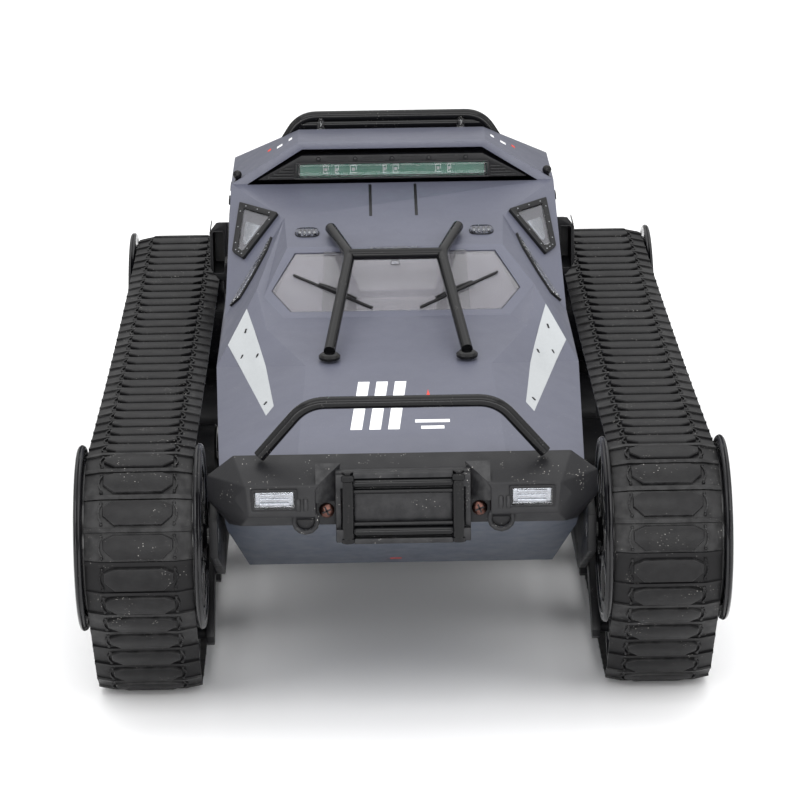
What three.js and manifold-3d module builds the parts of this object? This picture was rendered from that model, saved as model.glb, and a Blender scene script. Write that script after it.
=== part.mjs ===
import * as THREE from 'three';
import { mergeVertices } from 'three/addons/utils/BufferGeometryUtils.js';
import { ConvexGeometry } from 'three/addons/geometries/ConvexGeometry.js';
import Module from 'manifold-3d';

const wasm = await Module();
wasm.setup();

// Driving dimensions, mm. The front of the vehicle is -Y and the ground is Z = 0.
const GAP = 0.35;                 // clearance between touching pieces

// Belts and wheels
const WHEELBASE = 350;            // front wheel axle to rear sprocket axle
const AXLE_Z = 67;                // height of both end axles
const AXLE_R = 3;
const DISC_R = 34;                // side discs of the end wheels
const DISC_THICK = 2.8;
const DISC_OUT = 118;             // outer face of the outer disc, from the centre plane
const INNER_DISC = 72.3;          // inner face of the inner disc
const DRUM_R = 28.7;              // drum that the belt wraps
const BELT_IN = 75.5;             // inner edge of the belt
const BELT_OUT = 114.5;
const BELT_THICK = 3.7;
const BELT_CLEAR = 0.6;           // belt to drum or road wheel
const BELT_SAG = 2.2;             // droop of the top run
const LINK_PITCH = 12.06;
const ROAD_R = 17;
const ROAD_IN = 77;               // road wheel faces
const ROAD_OUT = 113;
const ROAD_COUNT = 5;
const ROAD_SPAN = 302;            // first road wheel axle to last
const ROAD_Z = ROAD_R + BELT_CLEAR + BELT_THICK;
const ROAD_STUB_R = 2.2;

// Swing arms and side frames
const ARM_IN = 70.8;
const ARM_OUT = 73.8;
const ARM_REACH = 28;             // pivot to wheel axle along Y
const ARM_PIVOT_Z = 42;
const PIVOT_R = 3;
const FRAME_IN = 67.3;
const FRAME_OUT = 70.3;

// Drive train
const GEAR_MODULE = 0.9;
const GEAR_TEETH = 30;
const PINION_TEETH = 12;
const GEAR_X = 34;                // inner face of the drive gears
const GEAR_WIDTH = 6;
const GEAR_BACKLASH = 0.3;        // added to the centre distance
const MOTOR_R = 13;
const MOTOR_LENGTH = 28;

// Hull and body shell
const SHELL_BASE = 84;            // lower rim of the body shell
const SHELL_WALL = 2.6;
const HULL_TOP = SHELL_BASE - GAP;
const HULL_WALL = 2.5;
const BELLY_Z = 33;
const TUBE_R = 2.25;              // guards and rack

// Stations of the shell along the vehicle and its heights, front to rear, as [y, z].
const NOSE = [-196, 101.5];
const BONNET_BEND = [-120, 116];
const SCREEN_FOOT = [-70, 122.2];
const SCREEN_HEAD = [-40, 143.5];
const COWL = [-9, 148.6];
const EAVE_FRONT = [25, 155.5];
const EAVE_REAR_Y = 80;
const ROOF_REAR_Y = 54;
const ROOF_Z = 172.2;
const TAIL_BREAK = [165, 124];
const TAIL_END = [196, 110];

// Half widths of the shell
const NOSE_HALF = 37.5;
const ROOF_HALF = 38.6;
const EAVE_HALF = 66.4;
const CORNER_HALF = 66;           // front and rear corners
const SHOULDER_HALF = 70;
const TAIL_HALF = 42;

// Colours: the satin blue-grey body, black mouldings, gloss black wheels and clear lamps.
const BODY = { color: 0x687080, roughness: 0.5, metalness: 0.1 };
const HULL = { color: 0x566072, roughness: 0.5, metalness: 0.1 };
const BLACK = { color: 0x1c1c1e, roughness: 0.55, metalness: 0 };
const GLOSS = { color: 0x0c0c0e, roughness: 0.15, metalness: 0 };
const CLEAR = { color: 0xdfe4ea, roughness: 0.08, metalness: 0 };
const SMOKE = { color: 0x8a8f9c, roughness: 0.12, metalness: 0 };
const METAL = { color: 0xa8a9ad, roughness: 0.35, metalness: 0.9 };
const GREEN = { color: 0x0e6e4a, roughness: 0.4, metalness: 0 };
const BLUE = { color: 0x27489a, roughness: 0.45, metalness: 0 };
const RED = { color: 0xb01818, roughness: 0.15, metalness: 0 };

const model = new THREE.Group();

function addPart(name, geometry, look, place) {
  const mesh = new THREE.Mesh(geometry, new THREE.MeshStandardMaterial(look));
  mesh.name = name;
  if (place) mesh.position.set(...place);
  model.add(mesh);
}

// ---------------------------------------------------------------- solids and booleans
function toSolid(geometry) {
  let plain = geometry.clone();
  plain.deleteAttribute('normal');
  plain.deleteAttribute('uv');
  plain = mergeVertices(plain, 1e-4);
  const vertProperties = new Float32Array(plain.attributes.position.array);
  const triVerts = new Uint32Array(plain.index.array);
  return new wasm.Manifold(new wasm.Mesh({ numProp: 3, vertProperties, triVerts }));
}

function toGeometry(solid) {
  const mesh = solid.getMesh();
  const geometry = new THREE.BufferGeometry();
  geometry.setAttribute('position', new THREE.BufferAttribute(mesh.vertProperties, 3));
  geometry.setIndex(new THREE.BufferAttribute(mesh.triVerts, 1));
  geometry.computeVertexNormals();
  return geometry;
}

function join(...geometries) {
  return toGeometry(geometries.map(toSolid).reduce((whole, next) => whole.add(next)));
}

function cut(geometry, ...tools) {
  return toGeometry(tools.map(toSolid).reduce((whole, tool) => whole.subtract(tool), toSolid(geometry)));
}

function common(geometry, tool) {
  return toGeometry(toSolid(geometry).intersect(toSolid(tool)));
}

// ---------------------------------------------------------------- basic shapes
function box(x0, x1, y0, y1, z0, z1) {
  const geometry = new THREE.BoxGeometry(x1 - x0, y1 - y0, z1 - z0);
  return geometry.translate((x0 + x1) / 2, (y0 + y1) / 2, (z0 + z1) / 2);
}

function convex(points) {
  return new ConvexGeometry(points.map((p) => new THREE.Vector3(...p)));
}

// Both sides of a list of points, for a convex solid that spans the centre plane.
function bothSides(points) {
  return points.flatMap(([x, y, z]) => [[x, y, z], [-x, y, z]]);
}

function mirror(geometry) {
  const flipped = geometry.clone().applyMatrix4(new THREE.Matrix4().makeScale(-1, 1, 1));
  if (!flipped.index) {
    flipped.setIndex(Array.from({ length: flipped.attributes.position.count }, (_, i) => i));
  }
  const index = flipped.index.array;
  for (let i = 0; i < index.length; i += 3) [index[i + 1], index[i + 2]] = [index[i + 2], index[i + 1]];
  flipped.deleteAttribute('normal');
  flipped.computeVertexNormals();
  return flipped;
}

// Turns a geometry drawn in (u, v) and extruded along w so that u is Y, v is Z and w is X.
const SIDE_ON = new THREE.Matrix4().makeBasis(
  new THREE.Vector3(0, 1, 0), new THREE.Vector3(0, 0, 1), new THREE.Vector3(1, 0, 0));

function sidePlate(shape, x0, x1) {
  const options = { depth: x1 - x0, bevelEnabled: false, curveSegments: 8 };
  return new THREE.ExtrudeGeometry(shape, options).applyMatrix4(SIDE_ON).translate(x0, 0, 0);
}

function outline(points) {
  return new THREE.Shape(points.map(([y, z]) => new THREE.Vector2(y, z)));
}

// A turned piece about the X axis; the profile of [x, radius] starts and ends on the axis or closes.
function turned(profile, segments) {
  const points = profile.map(([x, radius]) => new THREE.Vector2(radius, x));
  if (points[0].x > 0) points.push(points[0].clone());
  return new THREE.LatheGeometry(points, segments).rotateZ(-Math.PI / 2);
}

function rod(radius, x0, x1, y, z, segments = 16) {
  const geometry = new THREE.CylinderGeometry(radius, radius, x1 - x0, segments);
  return geometry.rotateZ(Math.PI / 2).translate((x0 + x1) / 2, y, z);
}

function post(radius, x, y, z0, z1) {
  const geometry = new THREE.CylinderGeometry(radius, radius, z1 - z0, 12);
  return geometry.rotateX(Math.PI / 2).translate(x, y, (z0 + z1) / 2);
}

// A round tube through corner points, with each inner corner rounded by a bend.
function tube(corners, radius, bend, steps) {
  const points = corners.map((c) => new THREE.Vector3(...c));
  const route = new THREE.CurvePath();
  let from = points[0];
  for (let i = 1; i < points.length - 1; i += 1) {
    const back = points[i - 1].clone().sub(points[i]).setLength(bend).add(points[i]);
    const on = points[i + 1].clone().sub(points[i]).setLength(bend).add(points[i]);
    route.add(new THREE.LineCurve3(from, back));
    route.add(new THREE.QuadraticBezierCurve3(back, points[i], on));
    from = on;
  }
  route.add(new THREE.LineCurve3(from, points[points.length - 1]));
  const section = new THREE.Shape().absarc(0, 0, radius, 0, Math.PI * 2);
  const options = { steps, extrudePath: route, curveSegments: 4, bevelEnabled: false };
  return new THREE.ExtrudeGeometry(section, options);
}

// The height at any y of the straight line through two stations.
function lineThrough([y0, z0], [y1, z1]) {
  return (y) => z0 + ((z1 - z0) * (y - y0)) / (y1 - y0);
}

// ---------------------------------------------------------------- faceted body shell
const bonnetZ = lineThrough(BONNET_BEND, SCREEN_FOOT);
const screenZ = lineThrough(SCREEN_FOOT, SCREEN_HEAD);
const tailZ = lineThrough([ROOF_REAR_Y, ROOF_Z], TAIL_BREAK);
const BONNET_EDGE_Y = -82;        // where the bonnet meets the screen surround
const SCREEN_WIDE_Y = -61;        // widest line of the screen
const FRONT_CORNER = [-187, 94];  // slanted corner beside the nose
const REAR_CORNER = [187, 103];
const SHOULDER_FRONT = [-85, 107];
const SHOULDER_REAR = [100, 107];
const PILLAR_FOOT = [-58, 131];
const DOOR_SILL = [-42, 116];
const TAIL_SIDE = [160, 116];

// Corners of the left half (X > 0) of the body; each has a twin on the right half.
const CORNERS = {
  noseBase: [NOSE_HALF, NOSE[0], SHELL_BASE],
  noseTop: [NOSE_HALF, ...NOSE],
  cornerBase: [CORNER_HALF, FRONT_CORNER[0], SHELL_BASE],
  cornerTop: [CORNER_HALF, ...FRONT_CORNER],
  bonnetBend: [35, ...BONNET_BEND],
  bonnetEdge: [50.3, BONNET_EDGE_Y, bonnetZ(BONNET_EDGE_Y)],
  pillarFoot: [54.5, ...PILLAR_FOOT],
  screenLow: [44.2, ...SCREEN_FOOT],
  screenWide: [51.8, SCREEN_WIDE_Y, screenZ(SCREEN_WIDE_Y)],
  screenTop: [42.6, ...SCREEN_HEAD],
  shoulder: [SHOULDER_HALF, ...SHOULDER_FRONT],
  shoulderBase: [SHOULDER_HALF, SHOULDER_FRONT[0], SHELL_BASE],
  doorSill: [67.8, ...DOOR_SILL],
  cowl: [44, ...COWL],
  eave: [EAVE_HALF, ...EAVE_FRONT],
  roofFront: [ROOF_HALF, EAVE_FRONT[0], ROOF_Z],
  roofRear: [ROOF_HALF, ROOF_REAR_Y, ROOF_Z],
  eaveRear: [EAVE_HALF, EAVE_REAR_Y, EAVE_FRONT[1]],
  tailBreak: [40, ...TAIL_BREAK],
  tailSide: [CORNER_HALF, ...TAIL_SIDE],
  tailEnd: [TAIL_HALF, ...TAIL_END],
  tailCorner: [CORNER_HALF, ...REAR_CORNER],
  tailBase: [TAIL_HALF, TAIL_END[0] + 2, SHELL_BASE],
  tailCornerBase: [CORNER_HALF, REAR_CORNER[0] + 1, SHELL_BASE],
  rearShoulder: [SHOULDER_HALF, ...SHOULDER_REAR],
  rearShoulderBase: [SHOULDER_HALF, SHOULDER_REAR[0], SHELL_BASE],
};

// Faces that span the centre plane, each given by its left corners from one end to the other.
const CENTRE_FACES = [
  ['noseBase', 'noseTop'], ['noseTop', 'bonnetBend'], ['bonnetBend', 'bonnetEdge', 'screenLow'],
  ['screenLow', 'screenWide', 'screenTop'], ['screenTop', 'cowl'], ['cowl', 'eave'],
  ['eave', 'roofFront'], ['roofFront', 'roofRear'], ['roofRear', 'tailBreak'],
  ['tailBreak', 'tailEnd'], ['tailEnd', 'tailBase'],
  ['tailBase', 'tailCornerBase', 'rearShoulderBase', 'shoulderBase', 'cornerBase', 'noseBase'],
];

// Faces of the left half, counterclockwise seen from outside.
const LEFT_FACES = [
  ['noseBase', 'cornerBase', 'cornerTop', 'noseTop'],
  ['noseTop', 'cornerTop', 'bonnetBend'], ['cornerTop', 'shoulder', 'bonnetBend'],
  ['bonnetBend', 'shoulder', 'bonnetEdge'], ['bonnetEdge', 'shoulder', 'pillarFoot'],
  ['shoulder', 'doorSill', 'pillarFoot'], ['screenLow', 'bonnetEdge', 'pillarFoot', 'screenWide'],
  ['pillarFoot', 'doorSill', 'cowl'], ['pillarFoot', 'cowl', 'screenTop', 'screenWide'],
  ['doorSill', 'eave', 'cowl'], ['eave', 'eaveRear', 'roofRear', 'roofFront'],
  ['eaveRear', 'tailSide', 'tailBreak', 'roofRear'], ['tailSide', 'tailCorner', 'tailEnd', 'tailBreak'],
  ['tailCorner', 'tailCornerBase', 'tailBase', 'tailEnd'],
  ['cornerBase', 'shoulderBase', 'shoulder', 'cornerTop'],
  ['shoulderBase', 'rearShoulderBase', 'rearShoulder', 'shoulder'],
  ['shoulder', 'rearShoulder', 'doorSill'], ['doorSill', 'rearShoulder', 'eave'],
  ['eave', 'rearShoulder', 'eaveRear'], ['eaveRear', 'rearShoulder', 'tailSide'],
  ['rearShoulderBase', 'tailCornerBase', 'tailCorner', 'rearShoulder'],
  ['rearShoulder', 'tailCorner', 'tailSide'],
];

// The faceted body as one closed solid; place() moves a corner before it is used.
function bodySolid(place) {
  const points = [];
  const addFace = (face) => {
    for (let i = 1; i < face.length - 1; i += 1) points.push(...face[0], ...face[i], ...face[i + 1]);
  };
  const left = (name) => place(CORNERS[name]);
  const right = (name) => {
    const [x, y, z] = left(name);
    return [-x, y, z];
  };
  for (const names of CENTRE_FACES) {
    addFace([...names.map(right), ...names.map(left).reverse()].reverse());
  }
  for (const names of LEFT_FACES) {
    addFace(names.map(left));
    addFace(names.map(right).reverse());
  }
  const geometry = new THREE.BufferGeometry();
  geometry.setAttribute('position', new THREE.Float32BufferAttribute(points, 3));
  return geometry;
}

// The wall is the body less a copy of itself drawn in and dropped, open at the bottom.
const INNER_SCALE_X = 0.958;
const INNER_SCALE_Y = 0.976;
const BELOW_BASE = 4;
const bodyWall = cut(bodySolid((corner) => corner), bodySolid(([x, y, z]) => {
  const height = z > SHELL_BASE ? z - SHELL_WALL : SHELL_BASE - BELOW_BASE;
  return [x * INNER_SCALE_X, y * INNER_SCALE_Y, height];
}));

// An outline whose edges are all moved outwards by the same amount; the points run clockwise.
function grown(points, amount) {
  const corner = (i) => new THREE.Vector2(...points[(i + points.length) % points.length]);
  return points.map((point, i) => {
    const before = corner(i).sub(corner(i - 1)).normalize();
    const after = corner(i + 1).sub(corner(i)).normalize();
    const out = new THREE.Vector2(-before.y - after.y, before.x + after.x);
    out.multiplyScalar(amount / (1 + before.dot(after)));
    return [point[0] + out.x, point[1] + out.y];
  });
}

// Doors: a piece of the wall inside an outline seen from the side, as [y, z].
const DOOR = [[-34, 105.5], [-34, 114], [24, 149.5], [66, 149.5], [70, 140], [70, 105.5]];
const DOOR_IN = 58;
const DOOR_OUT = 74;
const DOOR_GAP = 0.4;
const doorHole = sidePlate(outline(grown(DOOR, DOOR_GAP)), DOOR_IN - 1, DOOR_OUT + 1);
const doorLeft = common(bodyWall, sidePlate(outline(DOOR), DOOR_IN, DOOR_OUT));

// The windscreen is a thin pane set into the sloping front of the cab.
const SCREEN_TILT = Math.atan2(SCREEN_HEAD[1] - SCREEN_FOOT[1], SCREEN_HEAD[0] - SCREEN_FOOT[0]);
const SCREEN_THICK = 1.6;
const SCREEN_MARGIN = 3;
const SCREEN_SINK = 0.2;
function screenPane(margin, thickness, lift) {
  const up = new THREE.Vector3(0, Math.cos(SCREEN_TILT), Math.sin(SCREEN_TILT));
  const normal = new THREE.Vector3(0, -Math.sin(SCREEN_TILT), Math.cos(SCREEN_TILT));
  const edge = ['screenLow', 'screenWide', 'screenTop'].map((name) => new THREE.Vector3(...CORNERS[name]));
  const sum = edge.reduce((total, corner) => total.add(corner), new THREE.Vector3());
  const middle = sum.divideScalar(edge.length).setX(0);
  const points = [];
  for (const corner of edge) {
    const along = corner.clone().sub(middle).dot(up);
    const spot = middle.clone().addScaledVector(up, along - Math.sign(along) * margin);
    for (const depth of [lift, lift - thickness]) {
      points.push(spot.clone().addScaledVector(normal, depth).setX(corner.x - margin).toArray());
    }
  }
  return convex(bothSides(points));
}
const windscreen = screenPane(SCREEN_MARGIN + GAP, SCREEN_THICK, -SCREEN_SINK);
const screenHole = screenPane(SCREEN_MARGIN, SCREEN_THICK * 5, SCREEN_THICK * 2);

// The light bar sits in a recess in the front of the roof: a louvred housing, a lens and a board.
const VISOR_Y = EAVE_FRONT[0];
const LIGHT_LOW = [56, 156.8];    // lower corner of the recess, as [x, z]
const LIGHT_HIGH = [37.5, 167.4];
const LAMP_HALF = 38.8;
const LAMP_Z0 = 157.9;
const LAMP_Z1 = 163.3;
function lightBarSlab(shrink, y0, y1) {
  const points = [y0, y1].flatMap((y) => [
    [LIGHT_LOW[0] - 2 * shrink, y, LIGHT_LOW[1] + shrink],
    [LIGHT_HIGH[0] - shrink, y, LIGHT_HIGH[1] - shrink],
  ]);
  return convex(bothSides(points));
}
const lightRecess = lightBarSlab(0, VISOR_Y - 3, VISOR_Y + 12);
const lightHousing = cut(
  lightBarSlab(GAP, VISOR_Y - 0.4, VISOR_Y + 9),
  box(-LAMP_HALF - GAP, LAMP_HALF + GAP, VISOR_Y - 3, VISOR_Y + 6.5, LAMP_Z0 - GAP, LAMP_Z1 + GAP));
const lightLens = box(-LAMP_HALF, LAMP_HALF, VISOR_Y - 0.6, VISOR_Y + 2.6, LAMP_Z0, LAMP_Z1);
const lightBoard = box(1 - LAMP_HALF, LAMP_HALF - 1, VISOR_Y + 3, VISOR_Y + 5, LAMP_Z0 + 0.4, LAMP_Z1 - 0.4);

addPart('body_shell', cut(bodyWall, doorHole, mirror(doorHole), screenHole, lightRecess), BODY);
addPart('door_left', doorLeft, BODY);
addPart('door_right', mirror(doorLeft), BODY);
addPart('windscreen', windscreen, SMOKE);
addPart('light_bar_housing', lightHousing, BLACK);
addPart('light_bar_lens', lightLens, CLEAR);
addPart('light_bar_board', lightBoard, GREEN);

// ---------------------------------------------------------------- hull tub and what it holds
const REAR_AXLE_Y = WHEELBASE / 2;
const HULL_BEND_Z = 62;           // where the sides lean in towards the belly
const HULL_HALF = 66;
const BELLY_HALF = 58.5;
const STERN_HALF = 45;
const STERN_Y = 197;
const STERN_Z = 54;
const SIDE_WALL = 3;              // side walls are a little thicker than the belly
const hullOuter = convex(bothSides([
  [STERN_HALF, -STERN_Y + 1, HULL_TOP], [HULL_HALF, -186, HULL_TOP], [HULL_HALF, 186, HULL_TOP],
  [STERN_HALF, STERN_Y, HULL_TOP], [HULL_HALF - 1, -152, HULL_BEND_Z], [HULL_HALF, -110, HULL_BEND_Z],
  [HULL_HALF, 160, HULL_BEND_Z], [BELLY_HALF, -105, BELLY_Z], [BELLY_HALF, 150, BELLY_Z],
  [STERN_HALF, STERN_Y, STERN_Z],
]));
const ABOVE_RIM = HULL_TOP + 5;
const INNER_HALF = HULL_HALF - SIDE_WALL;
const hullInner = convex(bothSides([
  [STERN_HALF - 2, -190, ABOVE_RIM], [INNER_HALF, -181, ABOVE_RIM], [INNER_HALF, 182, ABOVE_RIM],
  [STERN_HALF - 2, STERN_Y - 4, ABOVE_RIM], [INNER_HALF - 1, -148, HULL_BEND_Z + 1],
  [INNER_HALF, -110, HULL_BEND_Z + 1], [INNER_HALF, 158, HULL_BEND_Z + 1],
  [BELLY_HALF - HULL_WALL, -103, BELLY_Z + HULL_WALL], [BELLY_HALF - HULL_WALL, 149, BELLY_Z + HULL_WALL],
  [STERN_HALF - 2, STERN_Y - 4, STERN_Z + HULL_WALL],
]));
const HATCH = { x: 23, front: -70, rear: 25 };
const SWITCH_HOLE = { x: 4.5, front: 56, rear: 61 };
const SWITCH_TRAVEL = 3.2;
const axleHole = rod(AXLE_R + GAP, 50, 70, REAR_AXLE_Y, AXLE_Z);
const hull = cut(hullOuter, hullInner,
  box(-HATCH.x - GAP, HATCH.x + GAP, HATCH.front - GAP, HATCH.rear + GAP, BELLY_Z - 1, BELLY_Z + 5),
  box(-SWITCH_HOLE.x, SWITCH_HOLE.x, SWITCH_HOLE.front, SWITCH_HOLE.rear, BELLY_Z - 1, BELLY_Z + 5),
  axleHole, mirror(axleHole));
addPart('hull_tub', hull, HULL);
addPart('battery_hatch', box(-HATCH.x, HATCH.x, HATCH.front, HATCH.rear, BELLY_Z, BELLY_Z + 2), HULL);
addPart('power_switch', box(-SWITCH_HOLE.x + GAP, SWITCH_HOLE.x - GAP - SWITCH_TRAVEL,
  SWITCH_HOLE.front + GAP, SWITCH_HOLE.rear - GAP, BELLY_Z - 1.2, BELLY_Z + 3.5), BLACK);
const BATTERY_HALF = 21;
const BATTERY_TOP = BELLY_Z + 26;
addPart('battery', box(-BATTERY_HALF, BATTERY_HALF, HATCH.front + 4, HATCH.rear - 3,
  BELLY_Z + HULL_WALL + GAP, BATTERY_TOP), BLUE);
addPart('control_board', box(-30, 30, 70, 130, 60, 62), GREEN);

// ---------------------------------------------------------------- bumper, lamps and fairlead
const BUMPER_BACK_Y = -197;
const BUMPER_FACE_Y = -215;
const BUMPER_TOP_Z = 97;          // upper edge of the upright face
const BUMPER_LOW_Z = 81;
const RECESS_HALF = 31;           // recess that holds the fairlead
const bumperBlock = convex(bothSides([
  [60.5, BUMPER_BACK_Y, 104], [70, BUMPER_BACK_Y - 1, BUMPER_TOP_Z], [70, BUMPER_BACK_Y - 2, 88],
  [62.5, BUMPER_BACK_Y - 1, 78.5], [58, -209, BUMPER_LOW_Z], [56, -213.5, BUMPER_TOP_Z], [60, -211, 92],
  [55, BUMPER_FACE_Y, 86], [26, BUMPER_FACE_Y, 86], [26, -213.5, BUMPER_TOP_Z], [26, -209, BUMPER_LOW_Z],
]));
const bumperRecess = convex(bothSides([-208, -220].flatMap((y) => [
  [RECESS_HALF, y, 70], [RECESS_HALF, y, 95], [24, y, 106],
])));
const LAMP = { x0: 38.3, x1: 53.1, z0: 88.6, z1: 95.2, face: -214.6, back: -211.4 };
const lampPocket = box(LAMP.x0 - GAP, LAMP.x1 + GAP, -220, LAMP.back + GAP, LAMP.z0 - GAP, LAMP.z1 + GAP);
const frontLamp = box(LAMP.x0, LAMP.x1, LAMP.face, LAMP.back, LAMP.z0, LAMP.z1);
addPart('front_bumper', cut(bumperBlock, bumperRecess, lampPocket, mirror(lampPocket)), BLACK);
addPart('front_lamp_left', frontLamp, CLEAR);
addPart('front_lamp_right', mirror(frontLamp), CLEAR);

const ROLLER_X = 19.7;            // upright rollers
const ROLLER_R = 3;
const CROSS_ROLLER_R = 1.7;
const uprightRoller = post(ROLLER_R, ROLLER_X, -212.2, 75.5, 101);
const fairlead = join(
  cut(box(-24, 24, -211.5, -208.3, 75, 101.5), box(-16.5, 16.5, -213, -210, 81, 96)),
  uprightRoller, mirror(uprightRoller),
  rod(CROSS_ROLLER_R, -18, 18, -211.5, 97.5, 10), rod(CROSS_ROLLER_R, -18, 18, -211.5, 79.5, 10));
addPart('winch_fairlead', fairlead, BLACK);

// ---------------------------------------------------------------- bull bar, bonnet guard and roof rack
const BULL_BAR = { y: -201.5, foot: [51, 104.6], bend: [34, 124] };
const [barFootX, barFootZ] = BULL_BAR.foot;
const [barBendX, barBendZ] = BULL_BAR.bend;
addPart('bull_bar', tube([
  [-barFootX, BULL_BAR.y, barFootZ], [-barBendX, BULL_BAR.y, barBendZ],
  [barBendX, BULL_BAR.y, barBendZ], [barFootX, BULL_BAR.y, barFootZ]], TUBE_R, 7, 26), BLACK);

const GUARD_BAR = [-60, 145];     // cross bar, as [y, z]
const guardLeg = tube([[26, -114.5, 120.2], [17.8, ...GUARD_BAR], [25.3, -28, 148.4]], TUBE_R, 5, 14);
const guardFoot = post(4.2, 26, -115, 117.6, 119.6);
addPart('hood_guard', join(guardLeg, mirror(guardLeg), guardFoot, mirror(guardFoot),
  rod(TUBE_R, -18, 18, ...GUARD_BAR, 10)), BLACK);

// Roof rack: a hoop behind the flat roof, a lower bar and two stays down to the sloping tail.
const RACK_Y = 60.5;
const RACK_Z = 176.4;
const RACK_FOOT = [49, 168.9];
const RACK_BEND_X = 38;
const STAY_X = 30;
const STAY_FOOT_Y = 93;
const rackHoop = tube([
  [-RACK_FOOT[0], RACK_Y, RACK_FOOT[1]], [-RACK_BEND_X, RACK_Y, RACK_Z],
  [RACK_BEND_X, RACK_Y, RACK_Z], [RACK_FOOT[0], RACK_Y, RACK_FOOT[1]]], TUBE_R, 7, 22);
const rackStay = tube([
  [STAY_X, RACK_Y, RACK_Z - 1], [STAY_X, 78, 167.2], [STAY_X, STAY_FOOT_Y, tailZ(STAY_FOOT_Y) + 3.7],
], TUBE_R, 5, 8);
const rackBar = rod(1.7, -40, 40, RACK_Y + 0.4, 172, 10);
addPart('roof_rack', join(rackHoop, rackBar, rackStay, mirror(rackStay)), BLACK);

// ---------------------------------------------------------------- side intakes
const INTAKE_IN = 70.5;
const INTAKE_OUT = 78;
const INTAKE_Z = 103;
const intake = cut(
  convex([
    [INTAKE_IN, 76, INTAKE_Z], [74.5, 76, INTAKE_Z], [INTAKE_OUT, 76, 108], [INTAKE_OUT, 76, 124],
    [75, 76, 128], [INTAKE_IN, 76, 128],
    [INTAKE_IN, 104, INTAKE_Z], [74.5, 104, INTAKE_Z], [INTAKE_OUT, 108, 108], [INTAKE_OUT, 108, 118],
    [75, 104, 122], [INTAKE_IN, 104, 122]]),
  box(71.8, 76.6, 70, 98, 106, 124));
addPart('side_intake_left', intake, BLACK);
addPart('side_intake_right', mirror(intake), BLACK);

// ---------------------------------------------------------------- rear bumper, rear lamps, engine cover
const REAR_BUMPER_Y = 199;
const REAR_LAMP = { x0: 38, x1: 52, z0: 83.6, z1: 90.4, y0: 211.4, y1: 214 };
const rearPocket = box(REAR_LAMP.x0 - 0.4, REAR_LAMP.x1 + 0.4, REAR_LAMP.y0 - 0.4, 220,
  REAR_LAMP.z0 - 0.4, REAR_LAMP.z1 + 0.4);
const rearBumper = convex(bothSides([
  [58, REAR_BUMPER_Y, 96], [66, REAR_BUMPER_Y, 90], [66, REAR_BUMPER_Y, 78], [58, REAR_BUMPER_Y, 72],
  [54, 213, 92], [54, 215, 84], [54, 211, 74]]));
const rearLamp = box(REAR_LAMP.x0, REAR_LAMP.x1, REAR_LAMP.y0, REAR_LAMP.y1, REAR_LAMP.z0, REAR_LAMP.z1);
addPart('rear_bumper', cut(rearBumper, rearPocket, mirror(rearPocket)), BLACK);
addPart('rear_lamp_left', rearLamp, RED);
addPart('rear_lamp_right', mirror(rearLamp), RED);

const TAIL_SLOPE = Math.atan2(ROOF_Z - TAIL_BREAK[1], TAIL_BREAK[0] - ROOF_REAR_Y);
const COVER_Y = 132;
const COVER_LENGTH = 60;
const COVER_HALF = 31;
const RIB_COUNT = 6;
const RIB_PITCH = 9.4;
const RIB_WIDTH = 4;
const coverRibs = Array.from({ length: RIB_COUNT }, (_, i) => {
  const y = (i - (RIB_COUNT - 1) / 2) * RIB_PITCH;
  return box(-26, 26, y - RIB_WIDTH / 2, y + RIB_WIDTH / 2, 1, 3);
});
const coverPlate = box(-COVER_HALF, COVER_HALF, -COVER_LENGTH / 2, COVER_LENGTH / 2, GAP, 2);
const engineCover = join(coverPlate, ...coverRibs);
engineCover.rotateX(-TAIL_SLOPE).translate(0, COVER_Y, tailZ(COVER_Y) + 0.01);
addPart('engine_cover', engineCover, BLACK);

// ---------------------------------------------------------------- belts
// Outline of the belt loop in the side view, at a distance from its inner face.
function beltLoop(offset) {
  const drum = DRUM_R + BELT_CLEAR;
  const road = ROAD_R + BELT_CLEAR;
  const run = ROAD_SPAN / 2;
  const ahead = WHEELBASE / 2 - run;
  const drop = AXLE_Z - ROAD_Z;
  const slope = Math.atan2(drop, ahead) + Math.acos((drum - road) / Math.hypot(ahead, drop)) - Math.PI / 2;
  const loop = new THREE.Shape();
  loop.absarc(-WHEELBASE / 2, AXLE_Z, drum + offset, Math.PI / 2, Math.PI * 1.5 - slope, false);
  loop.absarc(-run, ROAD_Z, road + offset, Math.PI * 1.5 - slope, Math.PI * 1.5, false);
  loop.absarc(run, ROAD_Z, road + offset, Math.PI * 1.5, Math.PI * 1.5 + slope, false);
  loop.absarc(WHEELBASE / 2, AXLE_Z, drum + offset, Math.PI * 1.5 + slope, Math.PI * 2.5, false);
  loop.quadraticCurveTo(0, AXLE_Z + drum + offset - 2 * BELT_SAG, -WHEELBASE / 2, AXLE_Z + drum + offset);
  return loop;
}
const LINKS = Math.round(beltLoop(BELT_THICK / 2).getLength() / LINK_PITCH);
const beltFace = new THREE.Shape(beltLoop(BELT_THICK).getSpacedPoints(LINKS).slice(0, -1));
beltFace.holes.push(new THREE.Path(beltLoop(0).getSpacedPoints(2 * LINKS).slice(0, -1)));
const belt = sidePlate(beltFace, BELT_IN, BELT_OUT);

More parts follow.
